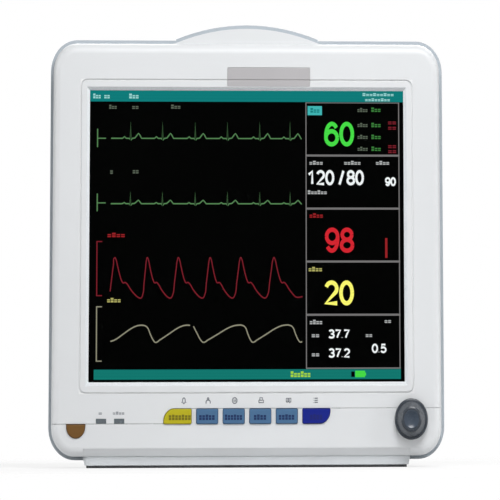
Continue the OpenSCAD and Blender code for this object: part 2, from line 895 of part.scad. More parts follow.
module handle_bar() intersection() {
    slab(tub_start - 1, grip_bar + 1) intersection() {
        outline(collar_inset);
        translate([-hump_x, bezel_top - 40]) square([2 * hump_x, 80]);
    }
    side_slab(-reach / 2, reach)
        round_rect(tub_start - 12, bar_back, bezel_top - 60, bezel_top + hump_rise - collar_inset, bar_r);
}

module housing_outer() {
    slab(collar_start, collar_depth) outline(collar_inset);
    tub(0, tub_start - 1);
    handle_bar();
    side_slab(-pod_x, pod_inner) pod_area(socket_pod_high, 0);
    side_slab(pod_x - pod_inner, pod_inner) pod_area(battery_pod_high, 0);
}

module housing_inner() difference() {
    union() {
        slab(collar_start - 1, collar_depth + 1 - wall) outline(collar_inset + wall);
        tub(wall, collar_start + 2);
        side_slab(-pod_x + wall, pod_inner) pod_area(socket_pod_high, wall);
        side_slab(pod_x - wall - pod_inner, pod_inner) pod_area(battery_pod_high, wall);
    }
    pocket(wall);
}

module hinge_ears() {
    for (z = [pod_low, door_high + 0.15])
        block(pin_x - knuckle_r - 1, pod_x - 1, pin_d - knuckle_r, pod_back - 1, z, z + pod_rim - 0.15);
}

module vents() {
    for (i = [0 : vent_count - 1])
        slab(rear_wall_in - 1, wall + 2) translate([(i - (vent_count - 1) / 2) * vent_pitch, vent_z])
            round_rect(-vent_w / 2, vent_w / 2, -vent_l / 2, vent_l / 2, vent_w / 2 - eps);
    for (ring = [0 : 2], i = [0 : max(1, ring * 6) - 1]) {
        turn = i * 60 / max(1, ring);
        rod(speaker_x + ring * sound_pitch * cos(turn), speaker_z + ring * sound_pitch * sin(turn),
            rear_wall_in - 1, wall + 2, sound_r);
    }
}

module rear_housing() color("gainsboro") difference() {
    union() {
        difference() {
            housing_outer();
            housing_inner();
            pocket(0);
        }
        hinge_ears();
        for (s = [-1, 1]) {
            rod(s * case_low_x, case_low_z, collar_start, body_depth - collar_start - 1, tube_r);
            rod(s * case_top_x, case_top_z, collar_start, case_low_seat - collar_start + 2, tube_r - 0.6);
            for (d = base_spots_d) upright(s * base_spot_x, d, tub_bottom + 1, 10, 5);
        }
    }
    for (spot = case_spots) {
        rod(spot.x, spot.y, collar_start - 1, reach, case_screw_r + 0.2);
        rod(spot.x, spot.y, case_low_seat, reach, head_r + 0.3);
    }
    for (s = [-1, 1], d = base_spots_d) upright(s * base_spot_x, d, tub_bottom - 1, 10, case_screw_r);
    vents();
    side_slab(-pod_x - 1, wall + 2) pod_area(socket_pod_high, pod_rim);
    side_slab(pod_x - wall - 1, wall + 2)
        round_rect(door_front, pin_d + knuckle_r + door_gap, door_low, door_high, 0.4);
    upright(pin_x, pin_d, pod_low + 1, battery_pod_high - pod_low - 2, pin_r + snug_gap);
    block(inlet_x - inlet_w / 2 - fit_gap, inlet_x + inlet_w / 2 + fit_gap, rear_wall_in - 1, body_depth + 1,
          panel_z - inlet_h / 2 - fit_gap, panel_z + inlet_h / 2 + fit_gap);
    for (s = [-1, 1]) rod(inlet_x + s * inlet_screw_x, panel_z, rear_wall_in - 1, wall + 2, inlet_screw_r);
    for (z = fuse_z) rod(0, z, rear_wall_in - 1, wall + 2, fuse_d / 2 - fuse_step + fit_gap);
    rod(post_x, panel_z, rear_wall_in - 1, wall + 2, post_d / 2 + 0.1);
    block(lan_x - lan_box.x / 2 - fit_gap, lan_x + lan_box.x / 2 + fit_gap, rear_wall_in - 1, body_depth + 1,
          panel_z - lan_box.y / 2 - fit_gap, panel_z + lan_box.y / 2 + fit_gap);
}

// Base, feet and screws

module base_area() round_rect(-base_w / 2, base_w / 2, base_front, base_front + base_depth, base_r);

module flat(z, thick) translate([0, front_y, z]) linear_extrude(thick) children();

module base_plate() color("silver") difference() {
    union() {
        flat(foot_drop, base_t) base_area();
        flat(foot_drop, base_lip_top - foot_drop) intersection() {
            base_area();
            translate([-reach, base_front]) square([2 * reach, base_lip_l]);
        }
        flat(foot_drop + base_t - 1, pad_top - foot_drop - base_t + 1)
            round_rect(-pad_w / 2, pad_w / 2, pad_front, pad_back, base_r);
    }
    for (s = [-1, 1]) {
        for (d = base_spots_d) {
            upright(s * base_spot_x, d, 0, 40, case_screw_r + 0.2);
            upright(s * base_spot_x, d, foot_drop - 1, head_t + 1.4, head_r + 0.3);
        }
        for (d = [base_mid - mount_l / 2, base_mid + mount_l / 2])
            upright(s * mount_w / 2, d, 0, foot_drop + mount_deep, mount_d / 2);
        mirror([s < 0 ? 1 : 0, 0, 0]) base_end();
    }
    flat(foot_drop - 1, foot_sink + 1) foot_areas(0.1);
}

// Outside the slanted right end, which leans in by base_slant on its way down
module base_end() {
    lean = atan2(base_slant, base_lip_top - foot_drop);
    translate([base_w / 2, -reach / 2, base_lip_top]) rotate([0, lean, 0]) translate([0, 0, -20])
        cube([20, reach, 40]);
}

// One strip along the front and a short one at each end of the back
module foot_areas(grow) {
    foot_area(-foot_half, foot_half, foot_front, grow);
    for (s = [0, 1]) mirror([s, 0]) foot_area(foot_half - foot_back_l, foot_half, foot_back, grow);
}

module foot_area(x0, x1, d, grow) {
    round_rect(x0 - grow, x1 + grow, d - grow, d + foot_w + grow, foot_w / 2 + grow - eps);
}

module rubber_feet() color("black")
    flat(0, foot_drop + foot_sink) foot_areas(0);

module base_screws() color("silver")
    for (s = [-1, 1], d = base_spots_d) difference() {
        union() {
            upright(s * base_spot_x, d, foot_drop + 0.4 + eps, head_t - eps, head_r);
            upright(s * base_spot_x, d, foot_drop + head_t, tub_bottom + 8 - foot_drop - head_t,
                    case_screw_r - snug_gap);
        }
        upright(s * base_spot_x, d, foot_drop, 1.6, 1.2);
    }

module case_screws() color("silver")
    for (spot = case_spots) difference() {
        union() {
            rod(spot.x, spot.y, case_low_seat, head_t, head_r);
            rod(spot.x, spot.y, 16, case_low_seat - 16 + eps, case_screw_r - snug_gap);
        }
        rod(spot.x, spot.y, case_low_seat + head_t - 1.2, 2, 1.2);
    }

// Chassis, boards and what they carry

module chassis() color("silver") difference() {
    slab(chassis_d, chassis_t) round_rect(-chassis_edge, chassis_edge, chassis_low, chassis_high, 6);
    for (s = [-1, 1]) {
        for (z = chassis_spots_z) rod(s * chassis_spot_x, z, chassis_d - 1, 4, chassis_screw_r + 0.2);
        for (z = spacers_z) rod(s * spacer_x, z, chassis_d - 1, 4, 1.6);
    }
    slab(chassis_d - 1, 4) translate([ribbon_x, ribbon_z])
        round_rect(-ribbon_half - 3, ribbon_half + 3, -4, 4, 2);
}

module chassis_screws() color("silver")
    for (s = [-1, 1], z = chassis_spots_z) {
        rod(s * chassis_spot_x, z, chassis_d - 10, 10 + chassis_t + eps, chassis_screw_r - snug_gap);
        rod(s * chassis_spot_x, z, chassis_d + chassis_t, 2, 3);
    }

function board_corners(b) =
    [for (x = [b[0] + standoff_in, b[1] - standoff_in], z = [b[2] + standoff_in, b[3] - standoff_in]) [x, z]];

module board(b) difference() {
    block(b[0], b[1], board_d, board_d + board_t, b[2], b[3]);
    for (spot = board_corners(b)) rod(spot.x, spot.y, board_d - 1, 4, 1.4);
}

board_back = board_d + board_t;

// Chips and blocks on a board: place from its middle, width, height and thickness
main_chips = [[0, 0, 30, 30, 2.5], [-34, 12, 18, 14, 1.8], [-34, -14, 18, 14, 1.8], [32, 0, 12, 40, 7]];
lead_chips = [[-18, 0, 40, 28, 8], [26, 0, 20, 20, 3]];
power_chips = [[-14, 0, 34, 30, 26]];
can_x = 22;
can_z = 11;
can_l = 25;
can_r = 8;

function board_mid(b) = [(b[0] + b[1]) / 2, (b[2] + b[3]) / 2];

module chips(b, list)
    for (c = list) chip(board_mid(b).x + c[0], board_mid(b).y + c[1], c[2], c[3], c[4]);

module chip(x, z, w, h, t)
    block(x - w / 2, x + w / 2, board_back - eps, board_back + t, z - h / 2, z + h / 2);

module main_board() color("darkgreen") {
    board(main_board_at);
    chips(main_board_at, main_chips);
}

module lead_board() color("darkgreen") {
    board(lead_board_at);
    chips(lead_board_at, lead_chips);
}

module power_board() color("darkgreen") {
    mid = board_mid(power_board_at);
    board(power_board_at);
    chips(power_board_at, power_chips);
    for (z = [-can_z, can_z]) rod(mid.x + can_x, mid.y + z, board_back - eps, can_l, can_r);
}

module board_standoffs() color("goldenrod")
    for (b = boards_at, spot = board_corners(b)) difference() {
        rod(spot.x, spot.y, chassis_d + chassis_t, board_d - chassis_d - chassis_t, standoff_r);
        rod(spot.x, spot.y, chassis_d + chassis_t + 1.5, reach, board_screw_r);
    }

module board_screw(x, z, seat) {
    rod(x, z, seat - board_t - 4, 4 + board_t + eps, board_screw_r - snug_gap);
    rod(x, z, seat, 1.6, 2.4);
}

module board_screws() color("silver") {
    for (b = boards_at, spot = board_corners(b)) board_screw(spot.x, spot.y, board_back);
    for (x = key_boss_x) board_screw(x, key_boss_z, key_board_d + board_t);
}

ribbon_x = main_board_at[0] + 45;
ribbon_z = (main_board_at[2] + main_board_at[3]) / 2;
ribbon_t = 0.8;
ribbon_half = 10;

module display_ribbon() color("ivory")
    block(ribbon_x - ribbon_half, ribbon_x + ribbon_half, lcd_back, board_d,
          ribbon_z - ribbon_t / 2, ribbon_z + ribbon_t / 2);

// From the back of the key board, under the chassis, up to the lower edge of the lead board
module key_ribbon() color("ivory") {
    x = lead_board_at[1] - 30;
    z = key_board_high - 8;
    block(x - ribbon_half, x + ribbon_half, key_board_d + board_t, board_back, z, z + ribbon_t);
    block(x - ribbon_half, x + ribbon_half, board_back - ribbon_t, board_back, z, lead_board_at[2]);
}

pump_off = 35;
pump_down = 17;
pump_x = main_board_at[1] + pump_off;
pump_z = main_board_at[3] - pump_down;
pump_r = 13.5;
pump_l = 44;
pump_half = 15;
pump_head_l = 14;
pump_start = chassis_d + chassis_t;
port_r = 2;
port_l = 8;
port_d = pump_start + pump_head_l / 2;

module cuff_pump() color("silver") {
    block(pump_x - pump_half, pump_x + pump_half, pump_start, pump_start + pump_head_l,
          pump_z - pump_half, pump_z + pump_half);
    rod(pump_x, pump_z, pump_start + pump_head_l - eps, pump_l, pump_r);
    across(pump_x - pump_half - port_l, port_d, pump_z, port_l + eps, port_r);
}

valve_down = 48;
valve_z = pump_z - valve_down;
valve_half = 9;
valve_l = 30;

module cuff_valve() color("dimgray") {
    block(pump_x - valve_half, pump_x + valve_half, pump_start, pump_start + valve_l,
          valve_z - valve_half, valve_z + valve_half);
    rod(pump_x, valve_z, pump_start + valve_l - eps, port_l, port_r);
}

hose_r = 2.6;
hose_turn_x = pump_x - pump_half - port_l - 7;
hose_start = [pump_x - pump_half - seat_gap, port_d, pump_z];
hose_end = [-pod_x + cuff_barrel_l + seat_gap, panel_d, cuff_z];
hose_points = [hose_start, [hose_turn_x, port_d, pump_z], [hose_turn_x, panel_d, pump_z],
               [hose_turn_x, panel_d, cuff_z], hose_end];

module hose_run(a, b, r) {
    span = b - a;
    turn_z = atan2(span.y, span.x);
    turn_y = atan2(sqrt(span.x * span.x + span.y * span.y), span.z);
    translate([a.x, front_y + a.y, a.z]) rotate([0, turn_y, turn_z]) cylinder(h = norm(span), r = r);
}

module hose_body(r) {
    for (i = [0 : len(hose_points) - 2]) hose_run(hose_points[i], hose_points[i + 1], r);
    for (i = [1 : len(hose_points) - 2])
        translate([hose_points[i].x, front_y + hose_points[i].y, hose_points[i].z]) sphere(r);
}

module air_hose() color("ivory") difference() {
    hose_body(hose_r);
    across(pump_x - pump_half - port_l - 1, port_d, pump_z, port_l + 2, port_r + snug_gap);
    across(-pod_x + cuff_barrel_l, panel_d, cuff_z, cuff_tail_l + 1, port_r + snug_gap);
}

module speaker() color("dimgray") {
    rod(speaker_x, speaker_z, rear_wall_in - speaker_rim, speaker_rim - snug_gap, speaker_r);
    rod(speaker_x, speaker_z, rear_wall_in - speaker_rim - magnet_l, magnet_l + eps, magnet_r);
}

// Sockets on the left side

module socket_body(z, bore, length, depth) {
    lip_r = bore / 2 + socket_lip;
    barrel_r = bore / 2 + barrel_wall;
    difference() {
        union() {
            across(-pod_x - socket_flange_t, panel_d, z, socket_flange_t, lip_r);
            across(-pod_x - eps, panel_d, z, length, barrel_r);
        }
        across(-pod_x - socket_flange_t - 1, panel_d, z, depth + 1, bore / 2);
    }
}

// Contact holes in a ring at the bottom of a socket
module contacts(z, depth, ring_r, count) {
    for (i = [0 : count - 1])
        across(-pod_x - socket_flange_t + depth - 1, panel_d + ring_r * cos(i * 360 / count),
               z + ring_r * sin(i * 360 / count), contact_l + 1, contact_r);
}

module lead_socket() color("mediumseagreen") difference() {
    socket_body(lead_z, lead_bore, lead_barrel_l, lead_bore_l);
    contacts(lead_z, lead_bore_l, lead_bore / 2 - contact_in, 8);
}

module sensor_socket() color("steelblue") difference() {
    socket_body(sensor_z, sensor_bore, sensor_barrel_l, sensor_bore_l);
    contacts(sensor_z, sensor_bore_l, sensor_bore / 2 - contact_in, 6);
}

module cuff_socket() color("silver") {
    socket_body(cuff_z, cuff_bore, cuff_barrel_l, cuff_bore_l);
    across(-pod_x + cuff_barrel_l - 2 * eps, panel_d, cuff_z, cuff_tail_l, port_r);
}

module probe_jacks() color("dimgray")
    for (z = probe_z) socket_body(z, probe_bore, probe_barrel_l, probe_bore_l);

socket_spots = [[lead_z, lead_bore], [sensor_z, sensor_bore], [cuff_z, cuff_bore],
                [probe_z[0], probe_bore], [probe_z[1], probe_bore]];

module socket_panel() color("lightsteelblue") difference() {
    union() {
        side_slab(-pod_x, wall) pod_area(socket_pod_high, pod_rim + fit_gap);
        side_slab(-pod_x + wall, panel_back_t) pod_area(socket_pod_high, pod_rim - panel_over);
    }
    for (spot = socket_spots) across(-pod_x - 1, panel_d, spot[0], wall + 4, spot[1] / 2 + barrel_wall + 0.1);
}

// Battery behind its door on the right side

module battery_door() color("gainsboro") difference() {
    union() {
        side_slab(pod_x - wall, wall)
            round_rect(door_front + door_gap, pin_d, door_low + door_gap, door_high - door_gap, 1);
        upright(pin_x, pin_d, door_low + door_gap, door_high - door_low - 2 * door_gap, knuckle_r);
    }
    upright(pin_x, pin_d, door_low - 1, door_high - door_low + 2, pin_r + run_gap);
    side_slab(pod_x - door_dent.z, wall)
        round_rect(door_front + 3, door_front + 3 + door_dent.x, battery_mid - door_dent.y / 2,
                   battery_mid + door_dent.y / 2, door_dent.x / 2 - 0.1);
}

module door_pin() color("silver") upright(pin_x, pin_d, pod_low + 1, battery_pod_high - pod_low - 2, pin_r);

module battery_tray() color("gray") difference() {
    room = battery_h / 2 + seat_gap;
    union() {
        block(tray_x - battery_t - 2 * tray_wall, tray_x, tray_front, tray_back,
              battery_mid - room - tray_wall, battery_mid + room + tray_wall);
        for (z = [battery_mid - tray_leg_z, battery_mid + tray_leg_z])
            block(tray_x - battery_t - tray_wall, tray_x - battery_t - tray_wall + tray_leg_w,
                  chassis_d + chassis_t, tray_front + 1, z - tray_leg_w / 2, z + tray_leg_w / 2);
    }
    block(tray_x - battery_t - tray_wall, tray_x + 1, tray_front + tray_wall, tray_back - tray_wall,
          battery_mid - room, battery_mid + room);
}

module battery_pack() color("royalblue")
    side_slab(tray_x - battery_t - tray_wall, battery_t)
        round_rect(tray_front + tray_wall + seat_gap, tray_front + tray_wall + seat_gap + battery_l,
                   battery_mid - battery_h / 2, battery_mid + battery_h / 2, 3);

// Back panel

module mains_inlet() color("black") difference() {
    union() {
        slab(body_depth, inlet_flange_t)
            round_rect(inlet_x - inlet_flange_w / 2, inlet_x + inlet_flange_w / 2,
                       panel_z - inlet_flange_h / 2, panel_z + inlet_flange_h / 2, inlet_flange_r);
        block(inlet_x - inlet_w / 2, inlet_x + inlet_w / 2, inlet_face - inlet_l, body_depth + 1,
              panel_z - inlet_h / 2, panel_z + inlet_h / 2);
    }
    difference() {
        block(inlet_x - inlet_mouth.x / 2, inlet_x + inlet_mouth.x / 2, inlet_face - inlet_mouth.z,
              inlet_face + 1, panel_z - inlet_mouth.y / 2, panel_z + inlet_mouth.y / 2);
        for (blade = [[-7, -1], [0, 3], [7, -1]])
            block(inlet_x + blade.x - 1, inlet_x + blade.x + 1, inlet_face - inlet_mouth.z - 1,
                  inlet_face - 5, panel_z + blade.y - 2, panel_z + blade.y + 2);
    }
    for (s = [-1, 1]) rod(inlet_x + s * inlet_screw_x, panel_z, body_depth - 1, 10, inlet_screw_r + fit_gap);
}

module inlet_screws() color("silver")
    for (s = [-1, 1]) difference() {
        union() {
            rod(inlet_x + s * inlet_screw_x, panel_z, inlet_face - inlet_screw_l,
                inlet_screw_l + eps, inlet_screw_r - snug_gap);
            rod(inlet_x + s * inlet_screw_x, panel_z, inlet_face, 1.8, 2.8);
        }
        rod(inlet_x + s * inlet_screw_x, panel_z, inlet_face + 0.8, 2, 0.9);
    }

module fuse_holders() color("dimgray")
    for (z = fuse_z) difference() {
        union() {
            rod(0, z, body_depth, fuse_cap_l, fuse_d / 2);
            rod(0, z, body_depth - fuse_tube_l, fuse_tube_l + eps, fuse_d / 2 - fuse_step);
        }
        block(-fuse_d / 2 + fuse_step, fuse_d / 2 - fuse_step, body_depth + fuse_cap_l - fuse_step,
              body_depth + fuse_cap_l + 1, z - 0.8, z + 0.8);
    }

module earth_post() color("silver") {
    rod(post_x, panel_z, body_depth - 10, 10 + post_proud, post_d / 2);
    for (d = [body_depth, rear_wall_in - post_nut_t - snug_gap])
        translate([post_x, front_y + d, panel_z]) rotate([-90, 0, 0])
            cylinder(h = post_nut_t, r = post_d / 2 + post_nut_over, $fn = 6);
}

module lan_port() color("silver") difference() {
    block(lan_x - lan_box.x / 2, lan_x + lan_box.x / 2, body_depth - lan_box.z, body_depth,
          panel_z - lan_box.y / 2, panel_z + lan_box.y / 2);
    block(lan_x - lan_mouth.x / 2, lan_x + lan_mouth.x / 2, body_depth - lan_mouth.z, body_depth + 1,
          panel_z - lan_mouth.y / 2, panel_z + lan_mouth.y / 2);
}

front_bezel();
chin_panel();
blank_badge();
display_window();
window_gasket();
lcd_frame();
lcd_cell();
backlight_tray();
lcd_spacers();
silence_key();
lead_key();
freeze_key();
print_key();
cuff_key();
menu_key();
power_key();
key_board();
key_switches();
lamp_lenses();
control_knob();
knob_cap();
encoder_shaft();
encoder_plunger();
encoder_body();
encoder_nut();
alarm_lens();
alarm_board();
trim_band();
rear_housing();
base_plate();
rubber_feet();
base_screws();
case_screws();
chassis();
chassis_screws();
main_board();
lead_board();
power_board();
board_standoffs();
board_screws();
display_ribbon();
key_ribbon();
cuff_pump();
cuff_valve();
air_hose();
speaker();
socket_panel();
lead_socket();
sensor_socket();
cuff_socket();
probe_jacks();
battery_door();
door_pin();
battery_tray();
battery_pack();
mains_inlet();
inlet_screws();
fuse_holders();
earth_post();
lan_port();
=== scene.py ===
"""Looks of a bedside patient monitor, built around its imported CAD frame.

Sizes are millimetres of the frame: +X is the viewer's right, the screen faces -Y and the feet stand on Z = 0.
"""

import logging
import math
from dataclasses import dataclass
from enum import Enum
from typing import ClassVar, Iterable, Mapping, NamedTuple, Optional, Sequence, Union

import bmesh
import bpy
from mathutils import Matrix, Vector


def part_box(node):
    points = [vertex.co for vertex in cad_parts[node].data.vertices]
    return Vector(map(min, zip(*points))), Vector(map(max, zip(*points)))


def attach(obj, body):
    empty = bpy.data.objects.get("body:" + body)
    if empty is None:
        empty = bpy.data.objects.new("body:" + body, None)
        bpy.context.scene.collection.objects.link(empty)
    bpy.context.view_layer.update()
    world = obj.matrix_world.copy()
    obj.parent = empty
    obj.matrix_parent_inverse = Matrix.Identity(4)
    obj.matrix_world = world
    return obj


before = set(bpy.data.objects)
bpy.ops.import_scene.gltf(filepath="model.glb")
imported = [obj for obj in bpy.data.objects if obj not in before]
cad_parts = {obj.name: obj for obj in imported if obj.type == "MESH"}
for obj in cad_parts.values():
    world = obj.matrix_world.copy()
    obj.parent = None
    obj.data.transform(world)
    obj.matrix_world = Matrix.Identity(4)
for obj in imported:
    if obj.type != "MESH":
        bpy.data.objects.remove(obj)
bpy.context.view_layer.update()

LOG = logging.getLogger("monitor")
MM = 0.001
CASE = "case"

Rgb = tuple[float, float, float]
Point = tuple[float, float]
Path = list[Point]
Value = Union[float, Sequence[float], "Signal"]
Inputs = Mapping[Union[str, int], Value]


class Spot(NamedTuple):
    """A place in the frame."""

    x: float
    y: float
    z: float


def corners(node: str) -> tuple[Spot, Spot]:
    """Lowest and highest corner of a CAD node's box, to a tenth of a millimetre."""
    low, high = (Spot(*(round(value / MM, 1) for value in corner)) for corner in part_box(node))
    return low, high


def middle_of(node: str) -> Spot:
    """Middle of a CAD node's box, to a tenth of a millimetre."""
    return Spot(*(round((low + high) / 2 / MM, 1) for low, high in zip(*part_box(node))))


FRONT_Y = corners("front_bezel")[0].y
BACK_Y = corners("rear_housing")[1].y
SIDE_X = corners("battery_door")[1].x


def linear(red: int, green: int, blue: int) -> Rgb:
    """Turns a display colour, 0 to 255 a channel, into the linear colour that a shader takes."""
    shares = [value / 255 for value in (red, green, blue)]
    return tuple(share / 12.92 if share <= 0.04045 else ((share + 0.055) / 1.055) ** 2.4 for share in shares)


def times(colour: Rgb, factor: float) -> Rgb:
    """Makes a colour brighter or darker by a factor."""
    return tuple(channel * factor for channel in colour)


# Shaders


class Signal:
    """A value in a node tree that takes part in Python arithmetic."""

    def __init__(self, sheet: "ShaderSheet", socket: bpy.types.NodeSocket) -> None:
        """Keeps the socket, and the sheet that new nodes go to."""
        self.sheet = sheet
        self.socket = socket

    def maths(self, operation: str, *values: Value) -> "Signal":
        """Adds one Math node."""
        return self.sheet.add("Math", dict(enumerate(values)), operation=operation)

    def __add__(self, other: Value) -> "Signal":
        """Sum."""
        return self.maths("ADD", self, other)

    __radd__ = __add__

    def __sub__(self, other: Value) -> "Signal":
        """Difference."""
        return self.maths("SUBTRACT", self, other)

    def __rsub__(self, other: Value) -> "Signal":
        """Difference from a plain number."""
        return self.maths("SUBTRACT", other, self)

    def __mul__(self, other: Value) -> "Signal":
        """Product."""
        return self.maths("MULTIPLY", self, other)

    __rmul__ = __mul__

    def __abs__(self) -> "Signal":
        """The value without its sign."""
        return self.maths("ABSOLUTE", self)

    def either(self, other: Value) -> "Signal":
        """The larger of two values."""
        return self.maths("MAXIMUM", self, other)

    def band(self, low: float, high: float) -> "Signal":
        """Maps the stretch between two values to 0..1 and holds the ends."""
        return self.sheet.add("MapRange", {0: self, 1: low, 2: high}, clamp=True)


class ShaderSheet:
    """The node tree of one material or world."""

    cloud_band: Point = (0.3, 0.7)

    def __init__(self, tree: bpy.types.NodeTree) -> None:
        """Empties the tree."""
        self.tree = tree
        tree.nodes.clear()

    def node(self, kind: str, inputs: Optional[Inputs] = None, **settings: object) -> bpy.types.Node:
        """Adds any node.

        Args:
            kind: The node's type, without the words that every shader node's type starts with.
            inputs: Values or links of its sockets, by name or number.
            settings: Properties, set before the sockets.

        Returns:
            The new node.
        """
        node = self.tree.nodes.new("ShaderNode" + kind)
        for name, value in settings.items():
            setattr(node, name, value)
        for key, value in (inputs or {}).items():
            socket = node.inputs[key]
            if isinstance(value, Signal):
                self.tree.links.new(value.socket, socket)
            elif socket.type == "RGBA":
                socket.default_value = (*value, 1.0)
            else:
                socket.default_value = value
        return node

    def add(self, kind: str, inputs: Optional[Inputs] = None, output: Union[str, int] = 0,
            **settings: object) -> Signal:
        """Adds any node and gives one of its outputs."""
        return Signal(self, self.node(kind, inputs, **settings).outputs[output])

    def place(self) -> Signal:
        """Object coordinates, in metres of the frame."""
        return self.add("TexCoord", output="Object")

    def noise(self, scale: float, detail: float = 3.0, where: Optional[Signal] = None) -> Signal:
        """Noise around one half, with so many cells to the metre."""
        inputs = {"Vector": where or self.place(), "Scale": scale, "Detail": detail}
        return self.add("TexNoise", inputs, "Fac")

    def cells(self, scale: float, where: Optional[Signal] = None, **settings: object) -> Signal:
        """Distance from the middles of scattered cells."""
        inputs = {"Vector": where or self.place(), "Scale": scale}
        return self.add("TexVoronoi", inputs, "Distance", **settings)

    def blend(self, share: Value, first: Value, second: Value) -> Signal:
        """Mixes two colours: a share of 0 gives the first, and 1 the second."""
        return self.add("Mix", {0: share, 6: first, 7: second}, 2, data_type="RGBA")

    def tint(self, share: Value, colour: Rgb, first: float, second: float) -> Signal:
        """Runs a colour from one strength to another."""
        return self.blend(share, times(colour, first), times(colour, second))

    def mottle(self, cloud: Signal, colour: Rgb, dark: float, bright: float) -> Signal:
        """Makes a colour darker and brighter in clouds."""
        return self.tint(cloud.band(*self.cloud_band), colour, dark, bright)

    def about(self, middle: float, *parts: tuple[Signal, float]) -> Signal:
        """Lets a value vary.

        Args:
            middle: What it is where every part is one half.
            parts: Signals from 0 to 1, and how far each moves it in all.

        Returns:
            The varied value.
        """
        total = parts[0][0] * parts[0][1]
        for part, spread in parts[1:]:
            total = total + part * spread
        return total + (middle - sum(spread for _, spread in parts) / 2)

    def eased(self, radius: float) -> Signal:
        """Normals that round every edge off by a radius."""
        return self.add("Bevel", {"Radius": radius * MM}, samples=4)

    def edges(self, eased: Signal, gain: float) -> Signal:
        """Finds the edges, where eased normals leave the true ones.

        Args:
            eased: Normals from the method of that name.
            gain: How quickly the mask rises.

        Returns:
            0 on flats, up to 1 on edges.
        """
        flat = self.add("NewGeometry", output="Normal")
        along = self.add("VectorMath", {0: eased, 1: flat}, "Value", operation="DOT_PRODUCT")
        return ((1 - along) * gain).band(0.0, 1.0)

    def bump(self, height: Signal, strength: float, depth: float, normal: Optional[Signal] = None) -> Signal:
        """Raises the surface by a height from 0 to 1, which stands for a depth."""
        inputs = {"Height": height, "Strength": strength, "Distance": depth * MM}
        return self.add("Bump", inputs if normal is None else {**inputs, "Normal": normal})

    def surface(self, inputs: Inputs) -> Signal:
        """Adds a Principled shader."""
        return self.add("BsdfPrincipled", inputs)

    def mix(self, share: Value, first: Signal, second: Signal) -> Signal:
        """Mixes two shaders."""
        return self.add("MixShader", {0: share, 1: first, 2: second})

    def out(self, shader: Signal, kind: str = "OutputMaterial") -> None:
        """Ends the tree with a shader."""
        self.node(kind, {"Surface": shader})


@dataclass(frozen=True)
class Finish:
    """A finish that makes its material once."""

    name: str

    made: ClassVar[dict["Finish", bpy.types.Material]] = {}

    def material(self) -> bpy.types.Material:
        """Makes the finish's material the first time it is asked for.

        Returns:
            The material.
        """
        if self not in Finish.made:
            material = bpy.data.materials.new(self.name)
            material.use_nodes = True
            self.compose(ShaderSheet(material.node_tree))
            Finish.made[self] = material
        return Finish.made[self]

    def compose(self, sheet: ShaderSheet) -> None:
        """Fills the finish's node tree."""
        raise NotImplementedError


@dataclass(frozen=True)
class Moulding(Finish):
    """Moulded plastic: spark-eroded grain, slight mottling, eased edges painted a little paler, partly as
    wear and partly as painted highlight.
    """

    colour: Rgb
    roughness: float = 0.5
    grain: float = 1400.0
    relief: float = 0.12
    mottle: float = 0.03
    ease: float = 0.35
    edge_wear_and_highlight: float = 0.12
    gloss: float = 0.4
    cloud: float = 11.0
    grain_depth: float = 0.08

    def compose(self, sheet: ShaderSheet) -> None:
        """Grain in the bump and roughness, broad mottling, and pale edges in the colour that are partly wear
        and partly painted highlight.

        Args:
            sheet: The node tree to fill.
        """
        fine = sheet.noise(self.grain)
        broad = sheet.noise(self.cloud, 4.0)
        eased = sheet.eased(self.ease)
        # Painted highlight: eased edges are lightened, partly as wear and partly to stand in for light caught
        # by the rounded edges.
        wear_and_highlight = sheet.edges(eased, 2.5) * self.edge_wear_and_highlight
        body = sheet.mottle(broad, self.colour, 1 - self.mottle, 1 + self.mottle)
        pale = tuple(min(1.0, channel * 1.25 + 0.05) for channel in self.colour)
        sheet.out(sheet.surface({
            "Base Color": sheet.blend(wear_and_highlight, body, pale),
            "Roughness": sheet.about(self.roughness, (fine, 0.16), (broad, 0.1)),
            "Specular IOR Level": self.gloss,
            "Normal": sheet.bump(fine, self.relief, self.grain_depth, eased)}))


@dataclass(frozen=True)
class ShellMoulding(Finish):
    """Pale front shell: moulded plastic with a polished slope and a fine groove around the screen, the groove
    painted paler than the shell as painted light against its shade.
    """

    colour: Rgb
    slope_colour: Rgb
    slope_half: Point
    slope_mid_z: float
    slope_fade: float = 0.6
    slope_polish: float = 0.15
    groove_highlight_colour: Rgb = (0.76, 0.77, 0.78)
    groove_out: float = 4.4
    groove_half: float = 0.5
    groove_fade: float = 0.15
    roughness: float = 0.42
    grain: float = 1300.0
    grain_depth: float = 0.07
    cloud: float = 7.0
    mottle: float = 0.02
    ease: float = 0.5

    def compose(self, sheet: ShaderSheet) -> None:
        """Slope and groove are frames around the lit area, found from the object's own coordinates.

        Args:
            sheet: The node tree to fill.
        """
        split = sheet.node("SeparateXYZ", {0: sheet.place()})
        across, up = (Signal(sheet, split.outputs[axis]) for axis in "XZ")
        wide = abs(across) - self.slope_half[0] * MM
        high = abs(up - self.slope_mid_z * MM) - self.slope_half[1] * MM
        away = wide.either(high)
        slope = 1 - away.band(0.0, self.slope_fade * MM)
        # Painted light: a band along the groove is painted paler than the shell, to lift the shade that falls
        # in the groove.
        groove = 1 - abs(away - self.groove_out * MM).band(self.groove_half * MM,
                                                           (self.groove_half + self.groove_fade) * MM)
        fine = sheet.noise(self.grain)
        body = sheet.mottle(sheet.noise(self.cloud), self.colour, 1 - self.mottle, 1 + self.mottle)
        sloped = sheet.blend(slope, body, self.slope_colour)
        sheet.out(sheet.surface({
            "Base Color": sheet.blend(groove, sloped, self.groove_highlight_colour),
            "Roughness": sheet.about(self.roughness, (fine, 0.14)) - slope * self.slope_polish,
            "Specular IOR Level": 0.45,
            "Normal": sheet.bump(fine * (1 - slope), 0.1, self.grain_depth, sheet.eased(self.ease))}))


